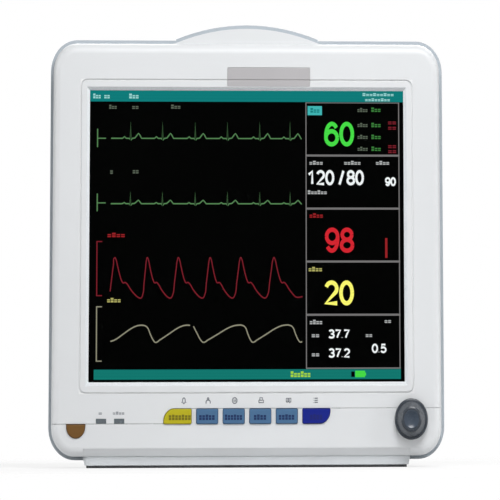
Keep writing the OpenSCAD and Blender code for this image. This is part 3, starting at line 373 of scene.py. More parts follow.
@dataclass(frozen=True)
class Metal(Finish):
    """Metal with drawn or rolled streaks."""

    colour: Rgb
    roughness: float = 0.32
    streaks: tuple[float, float, float] = (60.0, 1500.0, 1500.0)
    streak_depth: float = 0.05
    cloud: float = 30.0
    ease: float = 0.25

    def compose(self, sheet: ShaderSheet) -> None:
        """Streaks vary the colour, roughness and bump.

        Args:
            sheet: The node tree to fill.
        """
        drawn = sheet.add("Mapping", {"Vector": sheet.place(), "Scale": self.streaks})
        streak = sheet.noise(1.0, where=drawn)
        sheet.out(sheet.surface({
            "Base Color": sheet.tint(streak.band(0.25, 0.75), self.colour, 0.86, 1.0),
            "Metallic": 1.0,
            "Roughness": sheet.about(self.roughness, (streak, 0.2), (sheet.noise(self.cloud), 0.12)),
            "Normal": sheet.bump(streak, 0.08, self.streak_depth, sheet.eased(self.ease))}))


@dataclass(frozen=True)
class Coated(Finish):
    """Powder coat on sheet metal: an orange-peel skin."""

    colour: Rgb
    roughness: float = 0.57
    peel: float = 700.0
    peel_depth: float = 0.12
    cloud: float = 18.0
    ease: float = 0.5

    def compose(self, sheet: ShaderSheet) -> None:
        """Cells make the skin, clouds vary its colour and the edges are paler, partly as wear and partly as
        painted highlight.

        Args:
            sheet: The node tree to fill.
        """
        peel = sheet.cells(self.peel, feature="SMOOTH_F1")
        eased = sheet.eased(self.ease)
        body = sheet.mottle(sheet.noise(self.cloud), self.colour, 0.95, 1.04)
        # Painted highlight: edges are lightened, partly as wear and partly to stand in for light caught by
        # the edges.
        wear_and_highlight = sheet.edges(eased, 2.0) * 0.15
        sheet.out(sheet.surface({
            "Base Color": sheet.blend(wear_and_highlight, body, times(self.colour, 1.4)),
            "Roughness": sheet.about(self.roughness, (peel, 0.2)),
            "Normal": sheet.bump(peel, 0.2, self.peel_depth, eased)}))


@dataclass(frozen=True)
class Rubber(Finish):
    """Matt rubber with a dusty bloom."""

    colour: Rgb
    pores: float = 900.0
    pore_depth: float = 0.1
    bloom: float = 60.0
    roughness: float = 0.795
    ease: float = 0.4

    def compose(self, sheet: ShaderSheet) -> None:
        """Pores in the bump, and bloom in the colour and roughness.

        Args:
            sheet: The node tree to fill.
        """
        bloom = sheet.noise(self.bloom, 4.0).band(0.35, 0.75)
        dusty = tuple(channel + 0.03 for channel in self.colour)
        sheet.out(sheet.surface({
            "Base Color": sheet.blend(bloom * 0.5, self.colour, dusty),
            "Roughness": sheet.about(self.roughness, (bloom, 0.15)),
            "Specular IOR Level": 0.25,
            "Normal": sheet.bump(sheet.cells(self.pores), 0.3, self.pore_depth, sheet.eased(self.ease))}))


@dataclass(frozen=True)
class Board(Finish):
    """Circuit board: solder mask over traces, with tinned pads."""

    mask: Rgb = (0.012, 0.12, 0.05)
    trace: Rgb = (0.03, 0.24, 0.1)
    tin: Rgb = (0.55, 0.56, 0.57)
    traces: float = 90.0
    trace_depth: float = 0.05
    pads: float = 230.0
    pad_edge: Point = (0.14, 0.18)

    def compose(self, sheet: ShaderSheet) -> None:
        """Bricks turned to the board's face make traces, and cells make pads.

        Args:
            sheet: The node tree to fill.
        """
        turned = sheet.add("Mapping", {"Vector": sheet.place(), "Rotation": (math.pi / 2, 0, 0)})
        lines = sheet.add("TexBrick", {"Vector": turned, "Scale": self.traces, "Mortar Size": 0.03,
                                       "Brick Width": 0.7}, "Fac", offset=0.37)
        pads = 1 - sheet.cells(self.pads, turned).band(*self.pad_edge)
        sheet.out(sheet.surface({
            "Base Color": sheet.blend(pads, sheet.blend(lines, self.mask, self.trace), self.tin),
            "Metallic": pads,
            "Roughness": 0.38 - pads * 0.1,
            "Normal": sheet.bump(lines, 0.2, self.trace_depth)}))


@dataclass(frozen=True)
class Ink(Finish):
    """Printed ink that lies on plastic."""

    colour: Rgb
    roughness: float = 0.595
    speckle: float = 4000.0

    def compose(self, sheet: ShaderSheet) -> None:
        """A fine speckle breaks the print.

        Args:
            sheet: The node tree to fill.
        """
        speckle = sheet.noise(self.speckle, 2.0).band(*sheet.cloud_band)
        sheet.out(sheet.surface({
            "Base Color": sheet.tint(speckle, self.colour, 0.88, 1.12),
            "Roughness": sheet.about(self.roughness, (speckle, 0.15)),
            "Specular IOR Level": 0.3}))


@dataclass(frozen=True)
class LitInk(Finish):
    """Something lit on the screen, with faint rows of dots."""

    colour: Rgb
    rows: float = 162.5
    depth: float = 0.12

    def compose(self, sheet: ShaderSheet) -> None:
        """The rows of dots darken the light between them.

        Args:
            sheet: The node tree to fill.
        """
        rows = sheet.add("TexWave", {"Vector": sheet.place(), "Scale": self.rows}, "Fac", bands_direction="Z")
        sheet.out(sheet.surface({
            "Base Color": (0.0, 0.0, 0.0),
            "Roughness": 0.6,
            "Specular IOR Level": 0.0,
            "Emission Color": sheet.tint(rows * self.depth, self.colour, 1.06, 0.5),
            "Emission Strength": 1.0}))


@dataclass(frozen=True)
class DarkPanel(Finish):
    """The unlit screen: near black, with a trace of light leaking through."""

    colour: Rgb
    leak: float = 14.0
    grain: float = 3000.0
    roughness: float = 0.5

    def compose(self, sheet: ShaderSheet) -> None:
        """Cloudy leak over a fine grain.

        Args:
            sheet: The node tree to fill.
        """
        leak = sheet.noise(self.leak).band(0.35, 0.8)
        sheet.out(sheet.surface({
            "Base Color": sheet.tint(leak, self.colour, 0.6, 1.0),
            "Roughness": sheet.about(self.roughness, (sheet.noise(self.grain, 1.0), 0.2)),
            "Specular IOR Level": 0.01}))


@dataclass(frozen=True)
class ClearSheet(Finish):
    """Clear sheet with a coating against glare: only its slant shows a reflection."""

    clear: Rgb = (0.985, 0.99, 0.99)
    glare: Rgb = (0.9, 0.95, 1.0)
    slant_start: float = 0.55
    smears: float = 25.0
    roughness: float = 0.175

    def compose(self, sheet: ShaderSheet) -> None:
        """The slant past a start mixes clear and glossy, and smears vary the gloss.

        Args:
            sheet: The node tree to fill.
        """
        smear = sheet.noise(self.smears, 4.0).band(0.4, 0.8)
        clear = sheet.add("BsdfTransparent", {"Color": self.clear})
        glossy = sheet.add("BsdfGlossy", {"Color": self.glare,
                                          "Roughness": sheet.about(self.roughness, (smear, 0.15))})
        slant = sheet.add("LayerWeight", {"Blend": 0.5}, "Facing").band(self.slant_start, 1.0)
        sheet.out(sheet.mix(slant * slant, clear, glossy))


@dataclass(frozen=True)
class Lens(Finish):
    """Tinted or frosted lens, moulded with fine prisms inside."""

    colour: Rgb
    roughness: float = 0.255
    prism: float = 2.0
    prism_depth: float = 0.08
    cloud: float = 120.0
    wave_turns: float = 20.0

    def compose(self, sheet: ShaderSheet) -> None:
        """The prisms show as soft stripes.

        Args:
            sheet: The node tree to fill.
        """
        scale = 2 * math.pi / (self.prism * MM * self.wave_turns)
        stripe = sheet.add("TexWave", {"Vector": sheet.place(), "Scale": scale}, "Fac", bands_direction="X")
        sheet.out(sheet.surface({
            "Base Color": sheet.tint(stripe, self.colour, 0.94, 1.04),
            "Roughness": sheet.about(self.roughness, (sheet.noise(self.cloud), 0.15)),
            "Specular IOR Level": 0.6,
            "Coat Weight": 0.4,
            "Normal": sheet.bump(stripe, 0.1, self.prism_depth)}))


class Coat(Enum):
    """A choice among finishes."""

    def finish(self) -> Finish:
        """The finish itself."""
        return self.value

    def material(self) -> bpy.types.Material:
        """The finish's material."""
        return self.finish().material()


class Paint(Coat):
    """Every finish on the monitor, apart from what is lit."""

    SHELL = ShellMoulding("shell_white", linear(214, 216, 218), linear(211, 214, 217), (125.4, 94.65), 145.75)
    BADGE = Moulding("badge_grey", linear(172, 170, 172), 0.45, 900.0, 0.06)
    TRIM = Moulding("trim_grey", linear(168, 176, 183), 0.45)
    HOUSING = Moulding("housing_grey", linear(214, 217, 219), 0.5, 1200.0, 0.2, 0.025, 0.6)
    BASE = Coated("base_grey", linear(199, 203, 206))
    RUBBER = Rubber("foot_rubber", (0.135, 0.14, 0.145))
    FOAM = Rubber("gasket_foam", (0.015, 0.015, 0.016), 1600.0)
    YELLOW = Moulding("key_yellow", linear(176, 166, 22), 0.45, 1500.0, 0.06, 0.03, 0.4, 0.2, 0.25)
    BLUE = Moulding("key_blue", linear(68, 103, 138), 0.45, 1500.0, 0.06, 0.03, 0.4, 0.2, 0.25)
    NAVY = Moulding("key_navy", linear(8, 26, 124), 0.45, 1500.0, 0.06, 0.03, 0.4, 0.2, 0.2)
    BROWN = Moulding("key_brown", linear(106, 74, 32), 0.45, 1500.0, 0.06, 0.03, 0.4, 0.2, 0.25)
    KNOB = Moulding("knob_slate", linear(27, 37, 48), 0.24, 1500.0, 0.04, 0.03, 0.3, 0.1, 0.6)
    KNOB_CAP = Moulding("knob_cap", linear(40, 53, 68), 0.24, 1500.0, 0.04, 0.03, 0.3, 0.1, 0.5)
    BLACK = Moulding("black_plastic", (0.022, 0.023, 0.025), 0.48, 1200.0, 0.15, 0.06, 0.35, 0.2)
    PANEL = Moulding("panel_blue", linear(148, 166, 184), 0.45, 1200.0)
    GREEN_SOCKET = Moulding("socket_green", linear(60, 150, 108), 0.3, 1200.0, 0.05)
    BLUE_SOCKET = Moulding("socket_blue", linear(62, 108, 170), 0.3, 1200.0, 0.05)
    BATTERY = Moulding("battery_blue", linear(58, 92, 148), 0.35, 700.0, 0.1)
    RIBBON = Moulding("ribbon", linear(222, 220, 208), 0.5, 500.0, 0.2)
    ALARM = Lens("alarm_lens", linear(222, 228, 233), 0.285, 2.4)
    LAMP = Lens("lamp_grey", linear(76, 86, 92))
    GREEN_LAMP = Lens("green_lamp", linear(92, 168, 96), prism=0.8)
    AMBER_LAMP = Lens("amber_lamp", linear(214, 160, 66), prism=0.8)
    STEEL = Metal("steel", (0.56, 0.57, 0.58))
    ALUMINIUM = Metal("aluminium", (0.75, 0.76, 0.77), 0.38)
    BRASS = Metal("brass", (0.78, 0.57, 0.25), 0.25, (900.0, 900.0, 900.0))
    GOLD = Metal("gold_contact", (0.95, 0.70, 0.30), 0.22, (900.0, 900.0, 900.0))
    BOARD = Board("circuit_board")
    SCREEN = DarkPanel("screen_dark", (0.0004, 0.0005, 0.0004))
    WINDOW = ClearSheet("clear_window")
    ICON_INK = Ink("icon_ink", linear(120, 124, 130))
    YELLOW_MARK = Ink("yellow_mark", linear(108, 100, 4))
    BLUE_MARK = Ink("blue_mark", linear(10, 40, 84))
    NAVY_MARK = Ink("navy_mark", linear(6, 18, 98))


class Glow(Coat):
    """Colours lit on the screen, as the display shows them."""

    TEAL = (16, 122, 120)
    FOOT_TEAL = (19, 118, 109)
    PALE_TEAL = (156, 212, 208)
    CYAN = (66, 180, 178)
    TRACE = (84, 128, 82)
    GREEN = (70, 216, 70)
    DIM_GREEN = (58, 122, 58)
    DIM_GREY = (88, 98, 84)
    LIME = (166, 214, 60)
    RED = (208, 38, 48)
    PULSE = (116, 31, 41)
    DULL_RED = (150, 34, 38)
    YELLOW = (248, 244, 110)
    SOFT_YELLOW = (174, 170, 98)
    BREATH = (140, 138, 118)
    WHITE = (238, 242, 242)
    SOFT_WHITE = (172, 174, 174)
    GREY = (116, 114, 114)
    BLACK = (3, 3, 3)

    def finish(self) -> Finish:
        """The lit colour."""
        return LitInk("glow_" + self.name.lower(), linear(*self.value))


# Flat drawings


@dataclass(frozen=True)
class Bar:
    """An upright rectangle, seen from the front."""

    left: float
    right: float
    low: float
    high: float

    def moved(self, across: float, up: float) -> "Bar":
        """The same rectangle at another place."""
        return Bar(self.left + across, self.right + across, self.low + up, self.high + up)


@dataclass(frozen=True)
class Marks:
    """A line of plain dashes of uneven height in place of a caption, which reads as small print from afar."""

    box: Bar
    count: int
    short: float = 0.7
    gap: float = 0.14
    fill: float = 0.8

    @classmethod
    def row(cls, left: float, right: float, mid: float, tall: float, count: int) -> "Marks":
        """A line of dashes about a height."""
        return cls(Bar(left, right, mid - tall / 2, mid + tall / 2), count)

    def bars(self) -> list[Bar]:
        """Works out the dashes: two above each other, and every third pair tall.

        Returns:
            The dashes.
        """
        box = self.box
        pitch = (box.right - box.left) / self.count
        tall = box.high - box.low
        bars: list[Bar] = []
        for i in range(self.count):
            start = box.left + i * pitch
            end = start + self.fill * pitch
            high = box.low + tall * (1.0 if (i * 5 + self.count) % 3 == 0 else self.short)
            middle = (box.low + high) / 2
            half_gap = self.gap * tall / 2
            bars += [Bar(start, end, box.low, middle - half_gap), Bar(start, end, middle + half_gap, high)]
        return bars


@dataclass(frozen=True)
class Number:
    """A number and the box it fills."""

    text: str
    box: Bar


def arc(middle: Point, radii: Point, start: float, end: float, steps: int = 14) -> Path:
    """Points along a part of an ellipse, between two angles in degrees."""
    turns = [math.radians(start + (end - start) * i / steps) for i in range(steps + 1)]
    return [(middle[0] + radii[0] * math.cos(t), middle[1] + radii[1] * math.sin(t)) for t in turns]


def ring(x: float, y: float, radius: float) -> Path:
    """Points round a circle."""
    return arc((x, y), (radius, radius), 0, 360, 20)


def frame_line(left: float, right: float, low: float, high: float) -> Path:
    """Points round a rectangle."""
    return [(left, low), (right, low), (right, high), (left, high), (left, low)]


# Strokes of digits, slash and point, in a unit square
SIX = [arc((0.5, 0.32), (0.5, 0.32), 0, 360, 22), arc((0.53, 0.42), (0.53, 0.58), 185, 42)]
DIGITS: dict[str, list[Path]] = {
    "0": [arc((0.5, 0.5), (0.5, 0.5), 0, 360, 26)],
    "1": [[(0.12, 0.74), (0.62, 1.0), (0.62, 0.0)]],
    "2": [arc((0.5, 0.71), (0.47, 0.29), 165, -35) + [(0.0, 0.0), (1.0, 0.0)]],
    "3": [arc((0.48, 0.75), (0.45, 0.25), 155, -90) + arc((0.48, 0.25), (0.52, 0.25), 90, -155)],
    "5": [[(0.92, 1.0), (0.2, 1.0), (0.08, 0.5)] + arc((0.48, 0.32), (0.52, 0.32), 140, -152)],
    "6": SIX,
    "7": [[(0.0, 1.0), (1.0, 1.0), (0.64, 0.56), (0.42, 0.2), (0.34, 0.0)]],
    "8": [arc((0.5, 0.76), (0.43, 0.24), 0, 360, 20), arc((0.5, 0.26), (0.5, 0.26), 0, 360, 22)],
    "9": [[(1 - x, 1 - y) for x, y in path] for path in SIX],
    "/": [[(0.0, 0.0), (1.0, 1.0)]],
    ".": [[(0.0, 0.0), (0.0, 0.04)]]}

# Strokes that two pictograms share, in a square that reaches 1 from its middle
PROBE = [arc((0, -0.62), (0.36, 0.36), 115, 425),
         [(-0.15, -0.3), (-0.15, 0.8), (0.15, 0.8), (0.15, -0.3)], [(0.0, -0.62), (0.0, 0.3)]]
SLEEVE = [frame_line(-0.95, 0.95, -0.5, 0.7), ring(0.0, 0.1, 0.3), [(0.5, -0.5), (0.5, -0.95)]]


class Sign(Enum):
    """Pictograms: a name, and strokes in a square that reaches 1 from its middle."""

    BELL = "bell", [[(-0.55, -0.3), (-0.9, -0.62), (0.9, -0.62), (0.55, -0.3)]
                    + arc((0, 0.2), (0.55, 0.7), 0, 180) + [(-0.55, -0.3)],
                    arc((0, -0.7), (0.24, 0.24), 180, 360)]
    BODY = "body", [ring(0.0, 0.62, 0.32),
                    [(-0.85, -0.95)] + arc((0, -0.35), (0.85, 0.5), 180, 0) + [(0.85, -0.95)]]
    PAUSE = "pause", [ring(0.0, 0.0, 0.95), [(-0.28, -0.4), (-0.28, 0.4)], [(0.28, -0.4), (0.28, 0.4)]]
    PRINTER = "printer", [frame_line(-0.95, 0.95, -0.7, 0.1), frame_line(-0.55, 0.55, 0.1, 0.9)]
    CUFF = "cuff", SLEEVE
    LIST = "list", [[(start, v), (end, v)] for start, end in ((-0.4, 0.95), (-0.95, -0.8))
                    for v in (-0.7, 0.0, 0.7)]
    HEART = "heart", [[(0.0, -0.95), (-0.86, 0.15)] + arc((-0.46, 0.4), (0.46, 0.48), 200, 10)
                      + arc((0.46, 0.4), (0.46, 0.48), 170, -20) + [(0.86, 0.15), (0.0, -0.95)]]
    FINGER = "finger", [[(-1.0, -0.38)] + arc((0.4, 0.0), (0.5, 0.38), -90, 90) + [(-1.0, 0.38)],
                        [(-0.2, 0.75), (0.8, 0.75)], [(-0.2, -0.75), (0.8, -0.75)]]
    ARM = "arm", SLEEVE
    PROBE_ONE = "probe_one", PROBE
    PROBE_TWO = "probe_two", PROBE
    EARTH = "earth", [[(0.0, 0.9), (0.0, 0.0)], [(-0.85, 0.0), (0.85, 0.0)], [(-0.52, -0.4), (0.52, -0.4)],
                      [(-0.2, -0.8), (0.2, -0.8)]]
    MAINS = "mains", [arc((-0.48, 0.0), (0.48, 0.5), 180, 0) + arc((0.48, 0.0), (0.48, 0.5), 180, 360)]
    FUSE = "fuse", [frame_line(-0.75, 0.75, -0.35, 0.35), [(-1.0, 0.0), (1.0, 0.0)]]
    NETWORK = "network", [frame_line(-0.32, 0.32, 0.4, 0.95), frame_line(-0.95, -0.35, -0.95, -0.4),
                          frame_line(0.35, 0.95, -0.95, -0.4), [(0.0, 0.4), (0.0, 0.0)],
                          [(-0.65, -0.4), (-0.65, 0.0), (0.65, 0.0), (0.65, -0.4)]]
    CELL = "cell", [frame_line(-0.95, 0.8, -0.5, 0.5), [(0.98, -0.2), (0.98, 0.2)],
                    *([(u, -0.22), (u, 0.22)] for u in (-0.6, -0.25, 0.1, 0.45))]


class Face(Enum):
    """Flat faces of the case that carry print: where they are, and which way is right on them."""

    FRONT = ((0.0, FRONT_Y, 0.0), (1, 0, 0))
    LEFT = ((-SIDE_X, 0.0, 0.0), (0, -1, 0))
    RIGHT = ((SIDE_X, 0.0, 0.0), (0, 1, 0))
    BACK = ((0.0, BACK_Y, 0.0), (-1, 0, 0))

    def place(self, flatten: float = 0.3) -> Matrix:
        """Lays a flat drawing on the face.

        Args:
            flatten: Share of their height that its strokes keep.

        Returns:
            The placing matrix.
        """
        spot, across = self.value
        right, up = Vector(across), Vector((0, 0, 1))
        turn = Matrix((right, up, right.cross(up))).transposed().to_4x4()
        return Matrix.Translation(spot) @ turn @ Matrix.Diagonal((1, 1, flatten, 1))


# Meshes


class Piece:
    """A mesh under construction, in millimetres of the frame."""

    weld: float = 0.0005
    sharp: float = math.radians(35)

    def __init__(self, name: str) -> None:
        """Starts an empty mesh."""
        self.name = name
        self.bm = bmesh.new()

    def block(self, low: Sequence[float], high: Sequence[float], ease: float = 0.0) -> None:
        """Adds a block between two corners.

        Args:
            low: Lowest corner.
            high: Highest corner.
            ease: Rounding of its edges.
        """
        size = [h - l for l, h in zip(low, high)]
        middle = [(l + h) / 2 for l, h in zip(low, high)]
        made = bmesh.ops.create_cube(self.bm, size=1.0,
                                     matrix=Matrix.Translation(middle) @ Matrix.Diagonal((*size, 1.0)))
        if ease:
            edges = {edge for vert in made["verts"] for edge in vert.link_edges}
            bmesh.ops.bevel(self.bm, geom=list(edges), offset=ease, offset_type="OFFSET", affect="EDGES",
                            segments=2, profile=0.5, material=-1)

    def bar(self, bar: Bar, y: float, thick: float) -> None:
        """Adds an upright plate whose middle lies at a depth."""
        self.block((bar.left, y - thick / 2, bar.low), (bar.right, y + thick / 2, bar.high))

    def pin(self, middle: Sequence[float], radius: float, tip: float, length: float) -> None:
        """Adds a pin or a cone that lies along X, with its tip at the high end."""
        bmesh.ops.create_cone(self.bm, cap_ends=True, segments=16, radius1=radius, radius2=tip, depth=length,
                              matrix=Matrix.Translation(middle) @ Matrix.Rotation(math.pi / 2, 4, "Y"))

    def stroke(self, points: Sequence[Point], radius: float, place: Matrix, smooth: bool = False) -> None:
        """Adds a round stroke along points of a flat drawing.

        Args:
            points: The points.
            radius: Half the stroke's width.
            place: Where the drawing goes.
            smooth: Whether it runs in curves between the points.
        """
        curve = bpy.data.curves.new("stroke", "CURVE")
        curve.dimensions = "3D"
        curve.bevel_depth = radius
        curve.bevel_resolution = 1
        curve.use_fill_caps = True
        curve.resolution_u = 4
        spline = curve.splines.new("BEZIER" if smooth else "POLY")
        knots = spline.bezier_points if smooth else spline.points
        knots.add(len(points) - 1)
        for knot, (u, v) in zip(knots, points):
            knot.co = (u, v, 0.0) if smooth else (u, v, 0.0, 1.0)
            if smooth:
                knot.handle_left_type = knot.handle_right_type = "AUTO"
        holder = bpy.data.objects.new("holder", curve)
        bpy.context.scene.collection.objects.link(holder)
        bpy.context.view_layer.update()
        mesh = bpy.data.meshes.new_from_object(holder.evaluated_get(bpy.context.evaluated_depsgraph_get()))
        bpy.data.objects.remove(holder)
        bpy.data.curves.remove(curve)
        mesh.transform(place)
        self.bm.from_mesh(mesh)
        bpy.data.meshes.remove(mesh)

    def done(self, coat: Coat, slot: str, body: str = CASE, smooth: bool = False) -> None:
        """Makes the object, dresses it and lets it ride.

        Args:
            coat: Its finish.
            slot: Not used.
            body: Body it moves with.
            smooth: Whether curved faces are shaded smooth.
        """
        bmesh.ops.remove_doubles(self.bm, verts=self.bm.verts, dist=self.weld)
        bmesh.ops.recalc_face_normals(self.bm, faces=self.bm.faces)
        bmesh.ops.scale(self.bm, vec=(MM, MM, MM), verts=self.bm.verts)
        mesh = bpy.data.meshes.new(self.name)
        self.bm.to_mesh(mesh)
        self.bm.free()
        piece = bpy.data.objects.new(self.name, mesh)
        bpy.context.scene.collection.objects.link(piece)
        mesh.materials.append(coat.material())
        if smooth:
            mesh.shade_smooth()
            mesh.set_sharp_from_angle(angle=self.sharp)
        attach(piece, body)
        LOG.info("piece %s on %s: %d faces", self.name, body, len(mesh.polygons))


class Assembly:
    """A sub-assembly: it dresses CAD nodes and builds what the CAD leaves to the looks."""

    weld: ClassVar[float] = 0.01
    flat_angle: ClassVar[float] = math.radians(0.5)
    edge_angle: ClassVar[float] = math.radians(40)

    def build(self) -> None:
        """Makes the sub-assembly."""
        raise NotImplementedError

    def dress(self, coat: Coat, *nodes: str) -> None:
        """Gives CAD nodes a finish.

        Args:
            coat: The finish.
            nodes: Names of CAD nodes.
        """
        for name in nodes:
            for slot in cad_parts[name].material_slots:
                slot.material = coat.material()
            LOG.info("dressed %s with %s", name, coat.name)

    def soften(self, width: float, *nodes: str) -> None:
        """Rounds the sharp edges of CAD nodes with live modifiers.

        Args:
            width: Width of the rounding.
            nodes: Names of CAD nodes.
        """
        for name in nodes:
            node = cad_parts[name]
            weld = node.modifiers.new("weld", "WELD")
            weld.merge_threshold = self.weld * MM
            flat = node.modifiers.new("flat", "DECIMATE")
            flat.decimate_type = "DISSOLVE"
            flat.angle_limit = self.flat_angle
            edge = node.modifiers.new("edge", "BEVEL")
            edge.width = width * MM
            edge.segments = 3
            edge.limit_method = "ANGLE"
            edge.angle_limit = self.edge_angle
            edge.harden_normals = True

    def sign(self, sign: Sign, face: Face, at: Point, half: float, body: str = CASE,
             weight: float = 0.1) -> None:
        """Prints a pictogram.

        Args:
            sign: The pictogram.
            face: Face of the case that it lies on.
            at: Its middle on that face, across and up.
            half: Half its size.
            body: Body it moves with.
            weight: Radius of its strokes, as a share of half its size.
        """
        name, paths = sign.value
        piece = Piece("sign_" + name)
        for path in paths:
            piece.stroke([(at[0] + half * u, at[1] + half * v) for u, v in path], half * weight, face.place())
        piece.done(Paint.ICON_INK, "lamp_grey", body)


# Front


@dataclass
class FrontShell(Assembly):
    """Shells, plate on the brow, lamps and what is printed on the front."""

    print_thick: float = 0.12
    icon_z: float = 41.9
    icon_half: float = 1.9
    icon_weight: float = 0.2
    lamp_mark_low: float = 33.4
    lamp_mark_high: float = 35.2

    def build(self) -> None:
        """Dresses the shells and prints on them."""
        self.dress(Paint.SHELL, "front_bezel", "chin_panel")
        self.dress(Paint.BADGE, "blank_badge")
        self.dress(Paint.TRIM, "trim_band")
        self.dress(Paint.ALARM, "alarm_lens")
        self.dress(Paint.LAMP, "lamp_lenses")
        icons = {Sign.BELL: -49.0, Sign.BODY: -30.2, Sign.PAUSE: -9.6, Sign.PRINTER: 11.0, Sign.CUFF: 32.3,
                 Sign.LIST: 53.2}
        for sign, x in icons.items():
            self.sign(sign, Face.FRONT, (x, self.icon_z), self.icon_half, weight=self.icon_weight)
        self.lamp_marks()

    def lamp_marks(self) -> None:
        """Small marks above the two lamps."""
        marks = Piece("lamp_marks")
        for left, right, count in ((-114.9, -111.7, 1), (-103.9, -94.6, 4)):
            for bar in Marks(Bar(left, right, self.lamp_mark_low, self.lamp_mark_high), count).bars():
                marks.bar(bar, FRONT_Y, self.print_thick)
        marks.done(Paint.ICON_INK, "lamp_grey")


@dataclass
class Screen(Assembly):
    """Panel, window and everything that is lit. Places are from the lower left of the lit area."""

    left: float = -123.0
    low: float = 53.5
    wide: float = 246.0
    high: float = 184.5
    lit_y: float = -56.75
    lit_thick: float = 0.3
    lift: float = 0.05
    head_low: float = 177.4
    tile_left: float = 169.3
    tile_right: float = 242.4
    rule_half: float = 0.65
    trace_r: float = 0.42
    mark_left: float = 5.6
    mark_right: float = 6.5
    tick_half: float = 0.35
    big_stroke: float = 1.4
    pressure_stroke: float = 0.9
    mean_stroke: float = 0.66
    small_stroke: float = 0.62
    digit_gap: float = 0.34
    point_wide: float = 0.1

    def build(self) -> None:
        """Dresses the panel and lights it."""
        self.dress(Paint.SCREEN, "lcd_cell")
        self.dress(Paint.WINDOW, "display_window")
        self.dress(Paint.FOAM, "window_gasket")
        self.dress(Paint.STEEL, "lcd_frame")
        self.dress(Paint.ALUMINIUM, "backlight_tray", "lcd_spacers")
        self.bars_and_rules()
        self.traces()
        self.numbers()
        self.captions()

    def lit(self, name: str, glow: Glow, bars: Iterable[Bar], lift: float = 0.0) -> None:
        """Makes one lit piece from rectangles.

        Args:
            name: Name of the piece.
            glow: Its colour.
            bars: The rectangles.
            lift: How far in front of the others it lies.
        """
        piece = Piece(name)
        for bar in bars:
            piece.bar(bar.moved(self.left, self.low), self.lit_y - lift, self.lit_thick)
        piece.done(glow, "screen")

    def caption(self, name: str, glow: Glow, lines: Iterable[Marks], lift: Optional[float] = None) -> None:
        """Lays plain dashes in place of captions."""
        bars = [bar for line in lines for bar in line.bars()]
        self.lit(name, glow, bars, self.lift if lift is None else lift)

    def drawn(self, points: Iterable[Point]) -> Path:
        """Moves points of the screen to their place in the frame."""
        return [(self.left + u, self.low + v) for u, v in points]

    def plane(self) -> Matrix:
        """Stands a flat drawing upright on the screen, facing the front."""
        return Matrix.Translation((0, self.lit_y, 0)) @ Matrix.Rotation(math.pi / 2, 4, "X")

    def bars_and_rules(self) -> None:
        """Head and foot bars, the rules between the value tiles, the lead tile, the gauge and the limits."""
        front = 2 * self.lift
        self.lit("head_bar", Glow.TEAL, [Bar(0, self.wide, self.head_low, self.high)])
        self.lit("foot_bar", Glow.FOOT_TEAL, [Bar(4.1, 243.0, 1.6, 7.9)])
        levels = [(v, self.rule_half) for v in (143.2, 109.4, 75.8, 42.15)] + [(176.9, 0.25), (8.5, 0.4)]
        rules = [Bar(self.tile_left - 0.4, self.tile_right + 0.5, v - half, v + half) for v, half in levels]
        rules += [Bar(u - 0.4, u + 0.4, 8.0, 177.2) for u in (self.tile_left, self.tile_right)]
        self.lit("tile_rules", Glow.GREY, rules, self.lift)
        self.lit("lead_tile", Glow.CYAN, [Bar(170.6, 181.9, 169.0, 174.8)])
        self.lit("battery_gauge", Glow.GREEN, [Bar(207.3, 215.0, 2.8, 6.9), Bar(215.0, 215.8, 3.8, 5.7)],
                 front)
        self.lit("gauge_notch", Glow.BLACK, [Bar(204.2, 206.9, 3.0, 6.4)], front)
        self.caption("foot_note", Glow.LIME, [Marks(Bar(157.0, 172.8, 3.0, 6.6), 6)], front)
        self.lit("pulse_bar", Glow.DULL_RED, [Bar(231.2, 233.0, 78.1, 90.7)])
        self.caption("limit_marks", Glow.PULSE, [Marks(Bar(234.0, 240.9, low, low + 2.7), 2)
                                                 for low in (163.2, 159.8, 148.0, 144.8)])

    def trace(self, name: str, glow: Glow, points: Sequence[Point], smooth: bool) -> None:
        """Draws a line on the screen.

        Args:
            name: Name of the piece.
            glow: Its colour.
            points: Its points.
            smooth: Whether it runs in curves.
        """
        piece = Piece(name)
        piece.stroke(self.drawn(points), self.trace_r, self.plane(), smooth)
        piece.done(glow, "screen")

    def height_mark(self, name: str, glow: Glow, low: float, high: float, tick: float, *ticks: float) -> None:
        """Draws the height mark to the left of a trace.

        Args:
            name: Name of the piece.
            glow: Its colour.
            low: Its lower end.
            high: Its upper end.
            tick: Length of its ticks.
            ticks: Heights of its ticks.
        """
        bars = [Bar(self.mark_left, self.mark_right, low, high)]
        bars += [Bar(self.mark_right, self.mark_left + tick, v - self.tick_half, v + self.tick_half)
                 for v in ticks]
        self.lit(name, glow, bars)

    def heart_trace(self, base: float, peak: float, bump: float) -> Path:
        """Works out a heart trace.

        Args:
            base: Height of the resting line.
            peak: Height of the spikes.
            bump: Height of the wave that follows a spike.

        Returns:
            Its points.
        """
        small, large = base + 0.35 * (bump - base), base + 0.7 * (bump - base)
        beat = ((-6.2, base), (-4.8, small), (-3.4, base), (-0.9, base), (-0.5, base - 0.8), (0.0, peak),
                (0.5, base - 1.2), (1.3, base), (3.4, base + 0.2), (5.2, large), (6.2, bump), (7.2, large),
                (8.6, base))
        spikes = (31.8, 56.8, 82.4, 107.6, 132.9, 156.7)
        points = [(spike + along, v) for spike in spikes for along, v in beat]
        return [(16.6, base), *points[:-1], (165.4, base), (165.9, base)]

